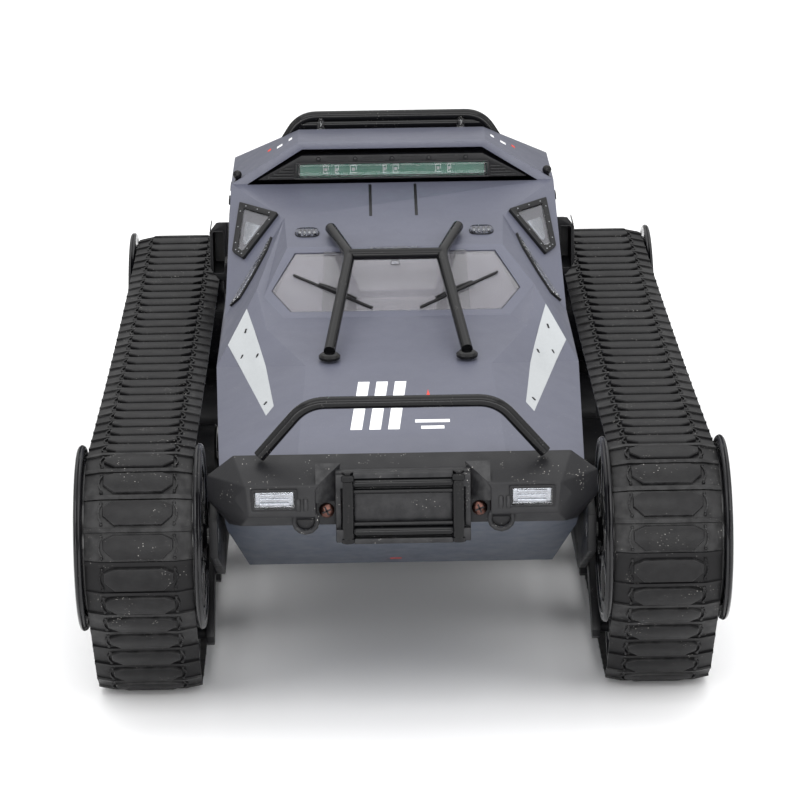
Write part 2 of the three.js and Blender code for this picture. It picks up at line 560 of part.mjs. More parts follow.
// ---------------------------------------------------------------- wheels
// An end wheel between two discs: axle stub, inner disc, drum and outer disc.
function endWheel(axleEnd) {
  const drumEnd = DISC_OUT - DISC_THICK;
  return turned([[axleEnd, 0], [axleEnd, AXLE_R], [INNER_DISC, AXLE_R], [INNER_DISC, DISC_R],
    [INNER_DISC + DISC_THICK, DISC_R], [INNER_DISC + DISC_THICK, DRUM_R], [drumEnd, DRUM_R],
    [drumEnd, DISC_R], [DISC_OUT, DISC_R], [DISC_OUT, 0]], 32);
}
const GROOVE_HALF = 4;            // groove for the guide horns of the belt
const GROOVE_DEPTH = 3;
const ROAD_MIDDLE = (ROAD_IN + ROAD_OUT) / 2;
const roadBore = ROAD_STUB_R + GAP;
const grooveR = ROAD_R - GROOVE_DEPTH;
const roadWheel = turned([
  [ROAD_IN, roadBore], [ROAD_IN, ROAD_R], [ROAD_MIDDLE - GROOVE_HALF, ROAD_R],
  [ROAD_MIDDLE - GROOVE_HALF / 2, grooveR], [ROAD_MIDDLE + GROOVE_HALF / 2, grooveR],
  [ROAD_MIDDLE + GROOVE_HALF, ROAD_R], [ROAD_OUT, ROAD_R], [ROAD_OUT, roadBore]], 16);

// ---------------------------------------------------------------- gears and motors
// A gear about the X axis with tapered teeth; the root, pitch and tip follow from the module.
function gearShape(teeth, phase) {
  const pitch = (GEAR_MODULE * teeth) / 2;
  const root = pitch - 1.2 * GEAR_MODULE;
  const tip = pitch + 0.8 * GEAR_MODULE;
  const flanks = [[root, -0.30], [tip, -0.11], [tip, 0.11], [root, 0.30]];
  const points = [];
  for (let i = 0; i < teeth; i += 1) {
    for (const [radius, shift] of flanks) {
      const angle = ((i + phase + shift) * Math.PI * 2) / teeth;
      points.push([radius * Math.cos(angle), radius * Math.sin(angle)]);
    }
  }
  return outline(points);
}
const driveGearShape = gearShape(GEAR_TEETH, 0);
driveGearShape.holes.push(new THREE.Path().absarc(0, 0, AXLE_R + GAP, 0, Math.PI * 2));
const driveGear = sidePlate(driveGearShape, GEAR_X, GEAR_X + GEAR_WIDTH);
const pinion = sidePlate(gearShape(PINION_TEETH, 0.5), GEAR_X - 1, GEAR_X + GEAR_WIDTH + 1);
const GEAR_CENTRES = (GEAR_MODULE * (GEAR_TEETH + PINION_TEETH)) / 2 + GEAR_BACKLASH;
const MOTOR_Y = REAR_AXLE_Y - GEAR_CENTRES;
const MOTOR_FACE = GEAR_X - 1 - GAP;
const motor = rod(MOTOR_R, MOTOR_FACE - MOTOR_LENGTH, MOTOR_FACE, 0, 0, 20);

// ---------------------------------------------------------------- side frames and swing arms
// Side frame: a lower rail with two horns that carry the end axles, as [y, z].
const FRAME = [[-186, 62], [-186, 76], [-166, 80], [-120, 58], [120, 58], [166, 80], [186, 76], [186, 62],
  [122, 35], [-122, 35]];
const ROAD_STEP = ROAD_SPAN / (ROAD_COUNT - 1);
const stations = Array.from({ length: ROAD_COUNT }, (_, i) => {
  const wheel = -ROAD_SPAN / 2 + ROAD_STEP * i;
  const trailing = i < ROAD_COUNT / 2 - 1;
  return { wheel, pivot: trailing ? wheel + ARM_REACH : wheel - ARM_REACH };
});
const pivotHoles = stations.map(({ pivot }) => rod(PIVOT_R + GAP, 60, 75, pivot, ARM_PIVOT_Z, 12));
const sideFrame = cut(sidePlate(outline(FRAME), FRAME_IN, FRAME_OUT), ...pivotHoles,
  rod(AXLE_R + GAP, 60, 75, -WHEELBASE / 2, AXLE_Z), rod(AXLE_R + GAP, 60, 75, WHEELBASE / 2, AXLE_Z));

function ring(y, z, radius) {
  return Array.from({ length: 10 }, (_, i) => {
    return [y + radius * Math.cos((i * Math.PI) / 5), z + radius * Math.sin((i * Math.PI) / 5)];
  });
}

// A swing arm between its pivot pin and the stub that a road wheel turns on, about the pivot.
const ARM_PIVOT_END_R = 5.5;
const ARM_WHEEL_END_R = 4.5;
const STUB_END = ROAD_OUT - 1;
function swingArm(reach) {
  const drop = ROAD_Z - ARM_PIVOT_Z;
  const ends = [...ring(0, 0, ARM_PIVOT_END_R), ...ring(reach, drop, ARM_WHEEL_END_R)];
  const plate = convex(ends.flatMap(([y, z]) => [[ARM_IN, y, z], [ARM_OUT, y, z]]));
  return join(plate, rod(PIVOT_R, FRAME_IN, ARM_IN + 1, 0, 0, 12),
    rod(ROAD_STUB_R, ARM_OUT - 1, STUB_END, reach, drop, 12));
}

// ---------------------------------------------------------------- running gear on both sides
function addRunningGear(label, side) {
  const frontAxle = [0, -WHEELBASE / 2, AXLE_Z];
  const rearAxle = [0, REAR_AXLE_Y, AXLE_Z];
  const motorAxis = [0, MOTOR_Y, AXLE_Z];
  addPart(`track_belt_${label}`, side(belt), BLACK);
  addPart(`front_wheel_${label}`, side(endWheel(FRAME_IN)), GLOSS, frontAxle);
  addPart(`drive_sprocket_${label}`, side(endWheel(GEAR_X - 2)), GLOSS, rearAxle);
  addPart(`drive_gear_${label}`, side(driveGear), METAL, rearAxle);
  addPart(`motor_pinion_${label}`, side(pinion), METAL, motorAxis);
  addPart(`drive_motor_${label}`, side(motor), METAL, motorAxis);
  addPart(`side_frame_${label}`, side(sideFrame), BLACK);
  stations.forEach(({ wheel, pivot }, i) => {
    addPart(`swing_arm_${label}_${i + 1}`, side(swingArm(wheel - pivot)), BLACK, [0, pivot, ARM_PIVOT_Z]);
    addPart(`road_wheel_${label}_${i + 1}`, side(roadWheel), BLACK, [0, wheel, ROAD_Z]);
  });
}
addRunningGear('left', (geometry) => geometry.clone());
addRunningGear('right', mirror);

export default model;
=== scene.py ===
import math

import bmesh
import bpy
from mathutils import Matrix, Vector
from mathutils.bvhtree import BVHTree


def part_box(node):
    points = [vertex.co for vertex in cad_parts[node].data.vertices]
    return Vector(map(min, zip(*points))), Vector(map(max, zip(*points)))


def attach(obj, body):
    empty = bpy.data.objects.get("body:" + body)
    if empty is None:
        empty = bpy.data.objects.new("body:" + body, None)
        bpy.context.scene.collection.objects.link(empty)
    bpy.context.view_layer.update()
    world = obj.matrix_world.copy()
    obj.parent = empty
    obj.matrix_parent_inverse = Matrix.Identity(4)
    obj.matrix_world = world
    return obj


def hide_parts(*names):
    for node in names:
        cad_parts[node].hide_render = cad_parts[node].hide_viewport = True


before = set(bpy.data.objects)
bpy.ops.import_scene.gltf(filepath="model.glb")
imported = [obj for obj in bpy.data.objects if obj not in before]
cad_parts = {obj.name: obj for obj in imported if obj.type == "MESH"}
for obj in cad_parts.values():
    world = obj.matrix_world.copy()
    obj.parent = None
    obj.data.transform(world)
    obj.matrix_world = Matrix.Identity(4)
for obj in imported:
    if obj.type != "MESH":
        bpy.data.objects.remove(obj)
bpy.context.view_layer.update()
MM = 0.001
SIDES = (("left", 1), ("right", -1))
ROOT = "root"
DOWN = (0, 0, -1)
ABOVE = 0.25  # a height clear of the whole vehicle

# ------------------------------------------------------------------ places in the frame


def mm(*sizes):
    """Millimetres as a tuple of metres."""
    return tuple(size * MM for size in sizes)


def mm_pairs(*pairs):
    """Pairs of millimetres, as a lathe's profile takes them."""
    return [mm(*pair) for pair in pairs]


def centre(node):
    low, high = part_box(node)
    return (low + high) / 2


def radius(node):
    low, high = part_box(node)
    return (high.z - low.z) / 2


def mirrored(spot, sign):
    return Vector((sign * spot.x, spot.y, spot.z))


def blended(corners, weights, sign=1):
    """A point in a face as a weighted mean of its corners, on either side of the vehicle."""
    spot = sum((corner * weight for corner, weight in zip(corners, weights)), Vector())
    return mirrored(spot / sum(weights), sign)


SURFACES = {}


def surface(node):
    if node not in SURFACES:
        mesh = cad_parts[node].data
        SURFACES[node] = BVHTree.FromPolygons([v.co for v in mesh.vertices],
                                              [p.vertices for p in mesh.polygons])
    return SURFACES[node]


def nearest(node, point):
    spot, normal, _, _ = surface(node).find_nearest(Vector(point))
    return spot, normal


def cast(node, start, direction):
    """Where a straight line first meets a node, and the direction its face looks in."""
    spot, normal, _, _ = surface(node).ray_cast(Vector(start), Vector(direction).normalized())
    return spot, normal


def cast_down(node, x, y):
    return cast(node, (x, y, ABOVE), DOWN)


def shell_corner(x, y, z):
    """The corner of the body shell nearest to a rough place."""
    rough = Vector((x, y, z))
    spots = [vert.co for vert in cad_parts["body_shell"].data.vertices]
    return min(spots, key=lambda spot: (spot - rough).length).copy()


SHELL_LOW, SHELL_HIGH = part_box("body_shell")
SCREEN_LOW, SCREEN_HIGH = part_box("windscreen")
DOOR_LOW, DOOR_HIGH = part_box("door_left")
GUARD_LOW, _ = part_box("hood_guard")
LENS_LOW, LENS_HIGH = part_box("light_bar_lens")

# Corners of the left half of the body's faces, found beside the pieces that they meet.
EAVE = shell_corner(SHELL_HIGH.x, LENS_LOW.y, LENS_LOW.z)
COWL = shell_corner(*((SCREEN_HIGH + EAVE) / 2))
ROOF_FRONT = shell_corner(LENS_HIGH.x, LENS_LOW.y, SHELL_HIGH.z)
DOOR_SILL = shell_corner(SHELL_HIGH.x, DOOR_LOW.y - 10 * MM, DOOR_LOW.z + 10 * MM)
PILLAR_FOOT = shell_corner(SHELL_HIGH.x * 0.8, centre("windscreen").y, centre("windscreen").z)
SHOULDER = shell_corner(SHELL_HIGH.x, SCREEN_LOW.y - 15 * MM, DOOR_LOW.z)
BONNET_BEND = shell_corner(SHELL_HIGH.x / 2, GUARD_LOW.y, GUARD_LOW.z)
CORNER_TOP = shell_corner(SHELL_HIGH.x, SHELL_LOW.y, SHELL_LOW.z + 10 * MM)

# ------------------------------------------------------------------ mesh helpers


def keep(obj, look, body=ROOT, slot=None, replaces=()):
    """Gives a piece its material and body, and hides the CAD nodes that it stands for; slot is not used."""
    obj.data.materials.clear()
    obj.data.materials.append(LOOKS[look])
    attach(obj, body)
    if replaces:
        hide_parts(*replaces)


def shade(mesh, angle):
    """Smooth shading, with hard edges where faces meet at more than the angle in degrees."""
    for polygon in mesh.polygons:
        polygon.use_smooth = True
    mesh.set_sharp_from_angle(angle=math.radians(angle))


def linked(name, data):
    obj = bpy.data.objects.new(name, data)
    bpy.context.scene.collection.objects.link(obj)
    return obj


def from_bmesh(name, made, angle=35):
    mesh = bpy.data.meshes.new(name)
    bmesh.ops.recalc_face_normals(made, faces=made.faces)
    made.to_mesh(mesh)
    made.free()
    shade(mesh, angle)
    return linked(name, mesh)


def join_pieces(name, pieces):
    """One object made of several, each applied with its own matrix and modifiers."""
    made = bmesh.new()
    graph = bpy.context.evaluated_depsgraph_get()
    graph.update()
    for piece in pieces:
        mesh = bpy.data.meshes.new_from_object(piece.evaluated_get(graph))
        mesh.transform(piece.matrix_world)
        made.from_mesh(mesh)
        bpy.data.meshes.remove(mesh)
    for piece in pieces:
        bpy.data.objects.remove(piece)
    bmesh.ops.remove_doubles(made, verts=made.verts, dist=1e-7)
    return from_bmesh(name, made)


def built(name, made, look, angle=35, **kept):
    keep(from_bmesh(name, made, angle), look, **kept)


def joined(name, pieces, look, **kept):
    keep(join_pieces(name, pieces), look, **kept)


def block(made, low, high, taper=0.0, matrix=None):
    """A box between two corners, its top drawn in by taper on all four sides."""
    x0, y0, z0 = low
    x1, y1, z1 = high
    t = taper
    corners = [(x0, y0, z0), (x1, y0, z0), (x1, y1, z0), (x0, y1, z0),
               (x0 + t, y0 + t, z1), (x1 - t, y0 + t, z1), (x1 - t, y1 - t, z1), (x0 + t, y1 - t, z1)]
    verts = [made.verts.new(matrix @ Vector(c) if matrix else c) for c in corners]
    for face in ((3, 2, 1, 0), (4, 5, 6, 7), (0, 1, 5, 4), (1, 2, 6, 5), (2, 3, 7, 6), (3, 0, 4, 7)):
        made.faces.new([verts[i] for i in face])
    return verts


def soft_block(made, low, high, width, matrix=None):
    """A box with rounded edges."""
    low, high = Vector(low), Vector(high)
    verts = block(made, [min(a, b) for a, b in zip(low, high)], [max(a, b) for a, b in zip(low, high)], 0,
                  matrix)
    edges = list({edge for vert in verts for edge in vert.link_edges})
    bmesh.ops.bevel(made, geom=edges, offset=width, offset_type="OFFSET", segments=2, profile=0.6,
                    affect="EDGES")


def prism(made, outline, levels, matrix=None):
    """A closed solid through copies of an outline; each level is (scale in, height)."""
    rings = []
    middle = Vector((sum(p[0] for p in outline), sum(p[1] for p in outline))) / len(outline)
    for inset, height in levels:
        ring = []
        for x, y in outline:
            flat = Vector((x, y))
            away = flat - middle
            flat = flat - away.normalized() * inset if inset else flat
            spot = Vector((flat.x, flat.y, height))
            ring.append(made.verts.new(matrix @ spot if matrix else spot))
        rings.append(ring)
    count = len(outline)
    for lower, upper in zip(rings, rings[1:]):
        for i in range(count):
            j = (i + 1) % count
            made.faces.new((lower[i], lower[j], upper[j], upper[i]))
    made.faces.new(list(reversed(rings[0])))
    made.faces.new(rings[-1])


def lathe(made, profile, segments, axis_matrix):
    """Turns a profile of (height, radius) about the local Z axis; radius 0 closes an end."""
    rings = []
    for height, ring_radius in profile:
        if ring_radius < 1e-9:
            rings.append([made.verts.new(axis_matrix @ Vector((0, 0, height)))])
            continue
        ring = []
        for i in range(segments):
            angle = 2 * math.pi * i / segments
            spot = Vector((ring_radius * math.cos(angle), ring_radius * math.sin(angle), height))
            ring.append(made.verts.new(axis_matrix @ spot))
        rings.append(ring)
    for lower, upper in zip(rings, rings[1:]):
        for i in range(segments):
            j = (i + 1) % segments
            corners = [lower[i % len(lower)], lower[j % len(lower)],
                       upper[j % len(upper)], upper[i % len(upper)]]
            unique = list(dict.fromkeys(corners))
            if len(unique) > 2:
                made.faces.new(unique)
    if len(rings[0]) > 1 and len(rings[-1]) > 1 and profile[0] != profile[-1]:
        made.faces.new(list(reversed(rings[0])))
        made.faces.new(rings[-1])


def copied(node, look, width, angle=14, segments=2, body=ROOT):
    """A softened copy of a CAD node that stands for it."""
    keep(softened(node, width, angle, segments), look, body, replaces=(node,))


def curve_object(name, dimensions, runs, closed, **settings):
    """A poly curve through one or more runs of points."""
    curve = bpy.data.curves.new(name, "CURVE")
    curve.dimensions = dimensions
    for key, value in settings.items():
        setattr(curve, key, value)
    for run in runs:
        spline = curve.splines.new("POLY")
        spline.points.add(len(run) - 1)
        for point, spot in zip(spline.points, run):
            point.co = (*spot, 1)
        spline.use_cyclic_u = closed
    return linked(name, curve)


def plate(outlines, thickness, bevel, matrix):
    """A flat plate with rounded edges; the first outline is its edge and the rest are holes."""
    runs = [[(x, y, 0) for x, y in outline] for outline in outlines]
    obj = curve_object("plate", "2D", runs, True, fill_mode="BOTH", extrude=max(thickness / 2 - bevel, 0),
                       bevel_depth=bevel, bevel_resolution=2, offset=-bevel)
    obj.matrix_world = matrix
    return obj


def printed(outline, place):
    """A very thin plate, for a printed mark or a lining."""
    return plate([outline], 0.2 * MM, 0.05 * MM, place)


def circle(middle, ring_radius, count=24):
    x, y = middle
    return [(x + ring_radius * math.cos(2 * math.pi * i / count),
             y + ring_radius * math.sin(2 * math.pi * i / count)) for i in range(count)]


def rectangle(width, height):
    return [(-width / 2, -height / 2), (width / 2, -height / 2), (width / 2, height / 2),
            (-width / 2, height / 2)]


def bend(start, corner, end, steps):
    """Points on a curve between two places, drawn towards a corner."""
    parts = [k / steps for k in range(steps + 1)]
    return [(1 - t) ** 2 * start + 2 * t * (1 - t) * corner + t * t * end for t in parts]


def rounded(outline, corner_radius, steps=4):
    """The outline with each corner replaced by a short curve."""
    result = []
    count = len(outline)
    for i, here in enumerate(outline):
        here = Vector(here)
        before = Vector(outline[i - 1]) - here
        after = Vector(outline[(i + 1) % count]) - here
        reach = min(corner_radius, before.length * 0.45, after.length * 0.45)
        start = here + before.normalized() * reach
        end = here + after.normalized() * reach
        result += [tuple(spot) for spot in bend(start, here, end, steps)]
    return result


def drawn_in(outline, width):
    """The outline with every edge moved towards its inside by a width."""
    middle = Vector((sum(p[0] for p in outline), sum(p[1] for p in outline))) / len(outline)
    count = len(outline)
    result = []
    for i in range(count):
        here, before, after = (Vector(outline[j % count]) for j in (i, i - 1, i + 1))
        normals = []
        for run in (here - before, after - here):
            normal = Vector((-run.y, run.x)).normalized()
            normals.append(normal if normal.dot(middle - here) > 0 else -normal)
        step = (normals[0] + normals[1]) * width / (1 + normals[0].dot(normals[1]))
        result.append(tuple(here + step))
    return result


def facing(origin, normal, up=(0, 0, 1)):
    """A matrix whose Z axis is the normal and whose Y axis is as near up as it can be."""
    z = Vector(normal).normalized()
    x = Vector(up).cross(z).normalized()
    y = z.cross(x)
    matrix = Matrix((x, y, z)).transposed().to_4x4()
    matrix.translation = Vector(origin)
    return matrix


def moved(place, x=0, y=0, z=0):
    return place @ Matrix.Translation((x, y, z))


def turned(place, angle):
    return place @ Matrix.Rotation(angle, 4, "Z")


def part_way(low, high, part):
    return low + (high - low) * part


def across(x, y, z, sign=1):
    """A matrix at a point whose local Z axis is the vehicle's X axis, outwards on that side."""
    matrix = Matrix.Rotation(math.pi / 2 * sign, 4, "Y")
    matrix.translation = Vector((x, y, z))
    return matrix


def softened(node, width, angle=14, segments=2):
    """A copy of a CAD node with its sharp edges rounded."""
    made = bmesh.new()
    made.from_mesh(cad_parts[node].data)
    bmesh.ops.remove_doubles(made, verts=made.verts, dist=1e-6)
    bmesh.ops.dissolve_limit(made, angle_limit=math.radians(1.5), verts=made.verts, edges=made.edges)
    sharp = [e for e in made.edges if len(e.link_faces) == 2 and e.calc_face_angle(0) > math.radians(angle)]
    bmesh.ops.bevel(made, geom=sharp, offset=width, offset_type="OFFSET", segments=segments,
                    profile=0.6, affect="EDGES", clamp_overlap=True)
    return from_bmesh(f"{node}_shape", made, 30)


def round_tube(name, corners, tube_radius, reach):
    """A round tube through corner points, each inner corner bent within a reach of it."""
    corners = [Vector(corner) for corner in corners]
    points = corners[:1]
    for before, here, after in zip(corners, corners[1:], corners[2:]):
        start = here + (before - here).normalized() * reach
        end = here + (after - here).normalized() * reach
        points += bend(start, here, end, 8)
    points.append(corners[-1])
    return curve_object(name, "3D", [points], False, bevel_depth=tube_radius, bevel_resolution=5,
                        use_fill_caps=True)


def flat_outline(points, node):
    """Points near a face of a node, as a matrix on that face and an outline in its plane."""
    middle = sum(points, Vector()) / len(points)
    spot, normal = nearest(node, middle)
    place = facing(spot, normal)
    inverse = place.inverted()
    return place, [tuple((inverse @ p).xy) for p in points]


def stud(made, place, x, y, stud_radius, height, segments=10):
    spot = moved(place, x, y, 0)
    lathe(made, ((-0.3 * MM, stud_radius), (height * 0.5, stud_radius), (height * 0.9, stud_radius * 0.75),
                 (height, stud_radius * 0.3), (height, 0)), segments, spot)


def draped(name, points, node, direction, lift, thickness=0.12 * MM, cuts=5):
    """A thin closed skin following a node's faces inside an outline, laid on along a direction."""
    made = bmesh.new()
    made.faces.new([made.verts.new(p) for p in points])
    bmesh.ops.triangulate(made, faces=made.faces[:])
    bmesh.ops.subdivide_edges(made, edges=made.edges[:], cuts=cuts, use_grid_fill=True)
    away = Vector(direction).normalized()
    for vert in made.verts:
        hit, normal = cast(node, vert.co - away * 50 * MM, away)
        if hit is None:
            hit, normal = nearest(node, vert.co)
        vert.co = hit + normal * lift
    bmesh.ops.recalc_face_normals(made, faces=made.faces)
    if sum((face.normal for face in made.faces), Vector()).dot(away) > 0:
        bmesh.ops.reverse_faces(made, faces=made.faces)
    bmesh.ops.solidify(made, geom=made.faces[:], thickness=thickness)
    return from_bmesh(name, made, 60)


# ------------------------------------------------------------------ materials


class Finish:
    """A procedural material built up step by step on one Principled shader."""

    def __init__(self, name, roughness, metallic=0.0, coat=0.0, coat_roughness=0.08, ior=1.48):
        self.material = bpy.data.materials.new(name)
        self.material.use_nodes = True
        self.tree = self.material.node_tree
        self.shader = self.tree.nodes["Principled BSDF"]
        self.shader.inputs["Metallic"].default_value = metallic
        self.shader.inputs["Roughness"].default_value = roughness
        self.shader.inputs["IOR"].default_value = ior
        self.shader.inputs["Coat Weight"].default_value = coat
        self.shader.inputs["Coat Roughness"].default_value = coat_roughness
        self.place = self.add("ShaderNodeTexCoord").outputs["Object"]

    def add(self, kind, **values):
        node = self.tree.nodes.new(kind)
        for key, value in values.items():
            setattr(node, key, value)
        return node

    def link(self, output, socket):
        self.tree.links.new(output, socket)

    def noise(self, scale, detail=3.0, rough=0.55, stretch=None):
        node = self.add("ShaderNodeTexNoise")
        node.inputs["Scale"].default_value = scale
        node.inputs["Detail"].default_value = detail
        node.inputs["Roughness"].default_value = rough
        place = self.place
        if stretch:
            mapping = self.add("ShaderNodeMapping")
            mapping.inputs["Scale"].default_value = stretch
            self.link(place, mapping.inputs["Vector"])
            place = mapping.outputs["Vector"]
        self.link(place, node.inputs["Vector"])
        return node.outputs["Fac"]

    def ramp(self, value, *stops):
        """Maps a value through stops of (position, level or colour)."""
        node = self.add("ShaderNodeValToRGB")
        self.link(value, node.inputs["Fac"])
        elements = node.color_ramp.elements
        while len(elements) < len(stops):
            elements.new(0.5)
        for element, (position, level) in zip(elements, stops):
            element.position = position
            colour = level if isinstance(level, tuple) else (level, level, level)
            element.color = (*colour, 1)
        return node.outputs["Color"]

    def specks(self, scale, size):
        """Sparse round dots in patches, 1 inside a dot and 0 outside."""
        node = self.add("ShaderNodeTexVoronoi")
        node.inputs["Scale"].default_value = scale
        self.link(self.place, node.inputs["Vector"])
        near = self.ramp(node.outputs["Distance"], (size * 0.5, 1.0), (size, 0.0))
        patch = self.ramp(self.noise(scale * 0.12, 2), (0.55, 0.0), (0.68, 1.0))
        return self.math("MULTIPLY", near, patch)

    def math(self, operation, first, second):
        node = self.add("ShaderNodeMath", operation=operation)
        for value, socket in ((first, node.inputs[0]), (second, node.inputs[1])):
            if isinstance(value, (int, float)):
                socket.default_value = value
            else:
                self.link(value, socket)
        return node.outputs["Value"]

    def mix(self, factor, first, second):
        node = self.add("ShaderNodeMix", data_type="RGBA")
        for value, socket in zip((factor, first, second), (node.inputs[0], node.inputs[6], node.inputs[7])):
            if isinstance(value, (int, float)):
                socket.default_value = value
            elif isinstance(value, tuple):
                socket.default_value = (*value, 1)
            else:
                self.link(value, socket)
        return node.outputs[2]

    def colour(self, value):
        self.link(value, self.shader.inputs["Base Color"])
        return self

    def roughness(self, value):
        self.link(value, self.shader.inputs["Roughness"])
        return self

    def bump(self, height, strength, distance):
        node = self.add("ShaderNodeBump")
        node.inputs["Strength"].default_value = strength
        node.inputs["Distance"].default_value = distance
        self.link(height, node.inputs["Height"])
        self.link(node.outputs["Normal"], self.shader.inputs["Normal"])
        return self


def shift(colour, factor):
    return tuple(min(c * factor, 1.0) for c in colour)


def moulded(name, colour, rough, grain=0.12, grain_size=2600, dust=0.0, wear=0.0, coat=0.0, ior=1.45):
    """Moulded plastic: mottled colour, fine grain, uneven gloss, dust specks and rubbed edges."""
    made = Finish(name, rough, coat=coat, ior=ior)
    cloud = made.ramp(made.noise(34, 4), (0.3, shift(colour, 0.95)), (0.7, shift(colour, 1.05)))
    fine = made.ramp(made.noise(grain_size * 0.5, 2), (0.35, 0.0), (0.65, 1.0))
    tone = made.mix(made.math("MULTIPLY", fine, 0.12), cloud, shift(colour, 1.45))
    if wear:
        edge = made.ramp(made.add("ShaderNodeNewGeometry").outputs["Pointiness"], (0.53, 0.0), (0.60, 1.0))
        rubbed = made.math("MULTIPLY", edge, made.ramp(made.noise(260, 4), (0.38, 0.15), (0.62, 1.0)))
        pale = tuple(c * 0.7 + 0.10 for c in colour)
        tone = made.mix(made.math("MULTIPLY", rubbed, wear), tone, pale)
    if dust:
        tone = made.mix(made.math("MULTIPLY", made.specks(900, 0.2), dust), tone, (0.55, 0.53, 0.50))
    made.colour(tone)
    low, high = rough * 0.85, min(rough * 1.18, 1.0)
    made.roughness(made.ramp(made.noise(120, 5), (0.3, low), (0.7, high)))
    made.bump(made.noise(grain_size, 2), grain, 0.00012)
    return made.material


def clear_part(name, colour, rough, clearness):
    """Clear moulded plastic with faint flow marks."""
    made = Finish(name, rough, ior=1.38)
    made.shader.inputs["Transmission Weight"].default_value = clearness
    made.colour(made.ramp(made.noise(60, 3), (0.3, shift(colour, 0.94)), (0.7, colour)))
    made.roughness(made.ramp(made.noise(300, 3), (0.3, rough * 0.7), (0.7, rough * 1.4)))
    made.bump(made.noise(500, 2), 0.12, 0.0001)
    return made.material


def metal(name, colour, rough, brushed=(1, 1, 1)):
    made = Finish(name, rough, metallic=1.0)
    made.colour(made.ramp(made.noise(400, 4, stretch=brushed), (0.3, shift(colour, 0.82)), (0.7, colour)))
    made.roughness(made.ramp(made.noise(600, 4, stretch=brushed), (0.3, rough * 0.7), (0.7, rough * 1.3)))
    made.bump(made.noise(1800, 3, stretch=brushed), 0.15, 0.00008)
    return made.material


def circuit_board(name):
    made = Finish(name, 0.35)
    tracks = made.add("ShaderNodeTexBrick")
    tracks.inputs["Scale"].default_value = 170
    tracks.inputs["Mortar Size"].default_value = 0.012
    tracks.inputs["Color1"].default_value = (0.001, 0.060, 0.030, 1)
    tracks.inputs["Color2"].default_value = (0.002, 0.080, 0.040, 1)
    tracks.inputs["Mortar"].default_value = (0.006, 0.12, 0.07, 1)
    made.link(made.place, tracks.inputs["Vector"])
    made.colour(tracks.outputs["Color"])
    made.bump(tracks.outputs["Fac"], 0.2, 0.0001)
    return made.material


BODY_BLUE = (0.079, 0.083, 0.112)
HULL_BLUE = (0.060, 0.072, 0.100)
BLACK = (0.005, 0.005, 0.006)
LOOKS = {
    "body": moulded("body_paint_look", BODY_BLUE, 0.38, grain=0.08, dust=0.15, wear=0.30),
    "hull": moulded("hull_look", HULL_BLUE, 0.40, grain=0.10, dust=0.15, wear=0.3),
    "black": moulded("black_moulding_look", BLACK, 0.42, grain=0.16, dust=0.2, ior=1.33),
    "bumper": moulded("bumper_look", (0.006, 0.006, 0.0072), 0.44, grain=0.3, grain_size=1700, dust=0.9,
                      wear=0.2, ior=1.34),
    "tube": moulded("tube_look", (0.003, 0.003, 0.0035), 0.15, grain=0.04, dust=0.2, ior=1.30),
    "gloss": moulded("gloss_wheel_look", (0.004, 0.004, 0.005), 0.15, grain=0.03, dust=0.15, ior=1.42),
    "wheel": moulded("wheel_look", (0.007, 0.007, 0.008), 0.33, grain=0.12, dust=0.3, ior=1.36),
    "belt": moulded("belt_look", (0.0048, 0.0046, 0.0051), 0.42, grain=0.25, grain_size=2400, dust=0.5,
                    wear=0.18, ior=1.28),
    "white": moulded("white_print_look", (0.80, 0.81, 0.82), 0.40, grain=0.05),
    "silver": moulded("silver_print_look", (0.34, 0.355, 0.365), 0.36, grain=0.08, dust=0.2),
    "red_print": moulded("red_print_look", (0.55, 0.035, 0.02), 0.42, grain=0.05),
    "lining": moulded("cab_lining_look", (0.125, 0.122, 0.135), 0.6, grain=0.1),
    "smoked": clear_part("smoked_look", (0.72, 0.71, 0.76), 0.12, 0.88),
    "tinted": clear_part("tinted_glass_look", (0.045, 0.047, 0.055), 0.08, 0.35),
    "clear": clear_part("clear_lens_look", (0.97, 0.98, 1.0), 0.04, 1.0),
    "red_lens": clear_part("red_lens_look", (0.75, 0.02, 0.02), 0.08, 0.6),
    "reflector": metal("lamp_reflector_look", (0.32, 0.33, 0.35), 0.16),
    "steel": metal("steel_look", (0.38, 0.39, 0.41), 0.30, (1, 12, 12)),
    "brass": metal("brass_look", (0.72, 0.50, 0.20), 0.30, (1, 12, 12)),
    "copper": metal("screw_look", (0.11, 0.055, 0.045), 0.34),
    "board": circuit_board("circuit_board_look"),
    "battery": moulded("battery_wrap_look", (0.02, 0.055, 0.26), 0.28, grain=0.05, coat=0.5),
}

# A slot name for each look, where a piece doesn't ask for another; keep does not use it.
SLOTS = {
    "body": "body_paint", "white": "body_paint", "silver": "body_paint", "red_print": "body_paint",
    "hull": "hull_plastic", "black": "black_moulding", "bumper": "bumper_plastic", "tube": "tube_plastic",
    "gloss": "gloss_wheel", "wheel": "wheel_plastic", "belt": "track_rubber",
    "smoked": "smoked_glass", "tinted": "smoked_glass", "lining": "smoked_glass",
    "clear": "clear_lens", "reflector": "clear_lens", "red_lens": "red_lens",
    "steel": "steel", "brass": "brass", "board": "circuit_board", "battery": "battery_wrap",
}

# ------------------------------------------------------------------ running gear

AXLE_Z = centre("front_wheel_left").z
HALF_BASE = abs(centre("front_wheel_left").y)
DISC_R = radius("front_wheel_left")
ROAD_COUNT = 5
ROAD_R = radius("road_wheel_left_1")
ROAD_Z = centre("road_wheel_left_1").z
ROAD_END = abs(centre("road_wheel_left_1").y)
BELT_LOW, BELT_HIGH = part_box("track_belt_left")
BELT_CLEAR = 0.6 * MM
BELT_THICK = ROAD_Z - ROAD_R - BELT_CLEAR - BELT_LOW.z
DRUM_R = BELT_HIGH.z - AXLE_Z - BELT_CLEAR - BELT_THICK
BELT_SAG = 2.2 * MM
LINK_PITCH = 12.06 * MM


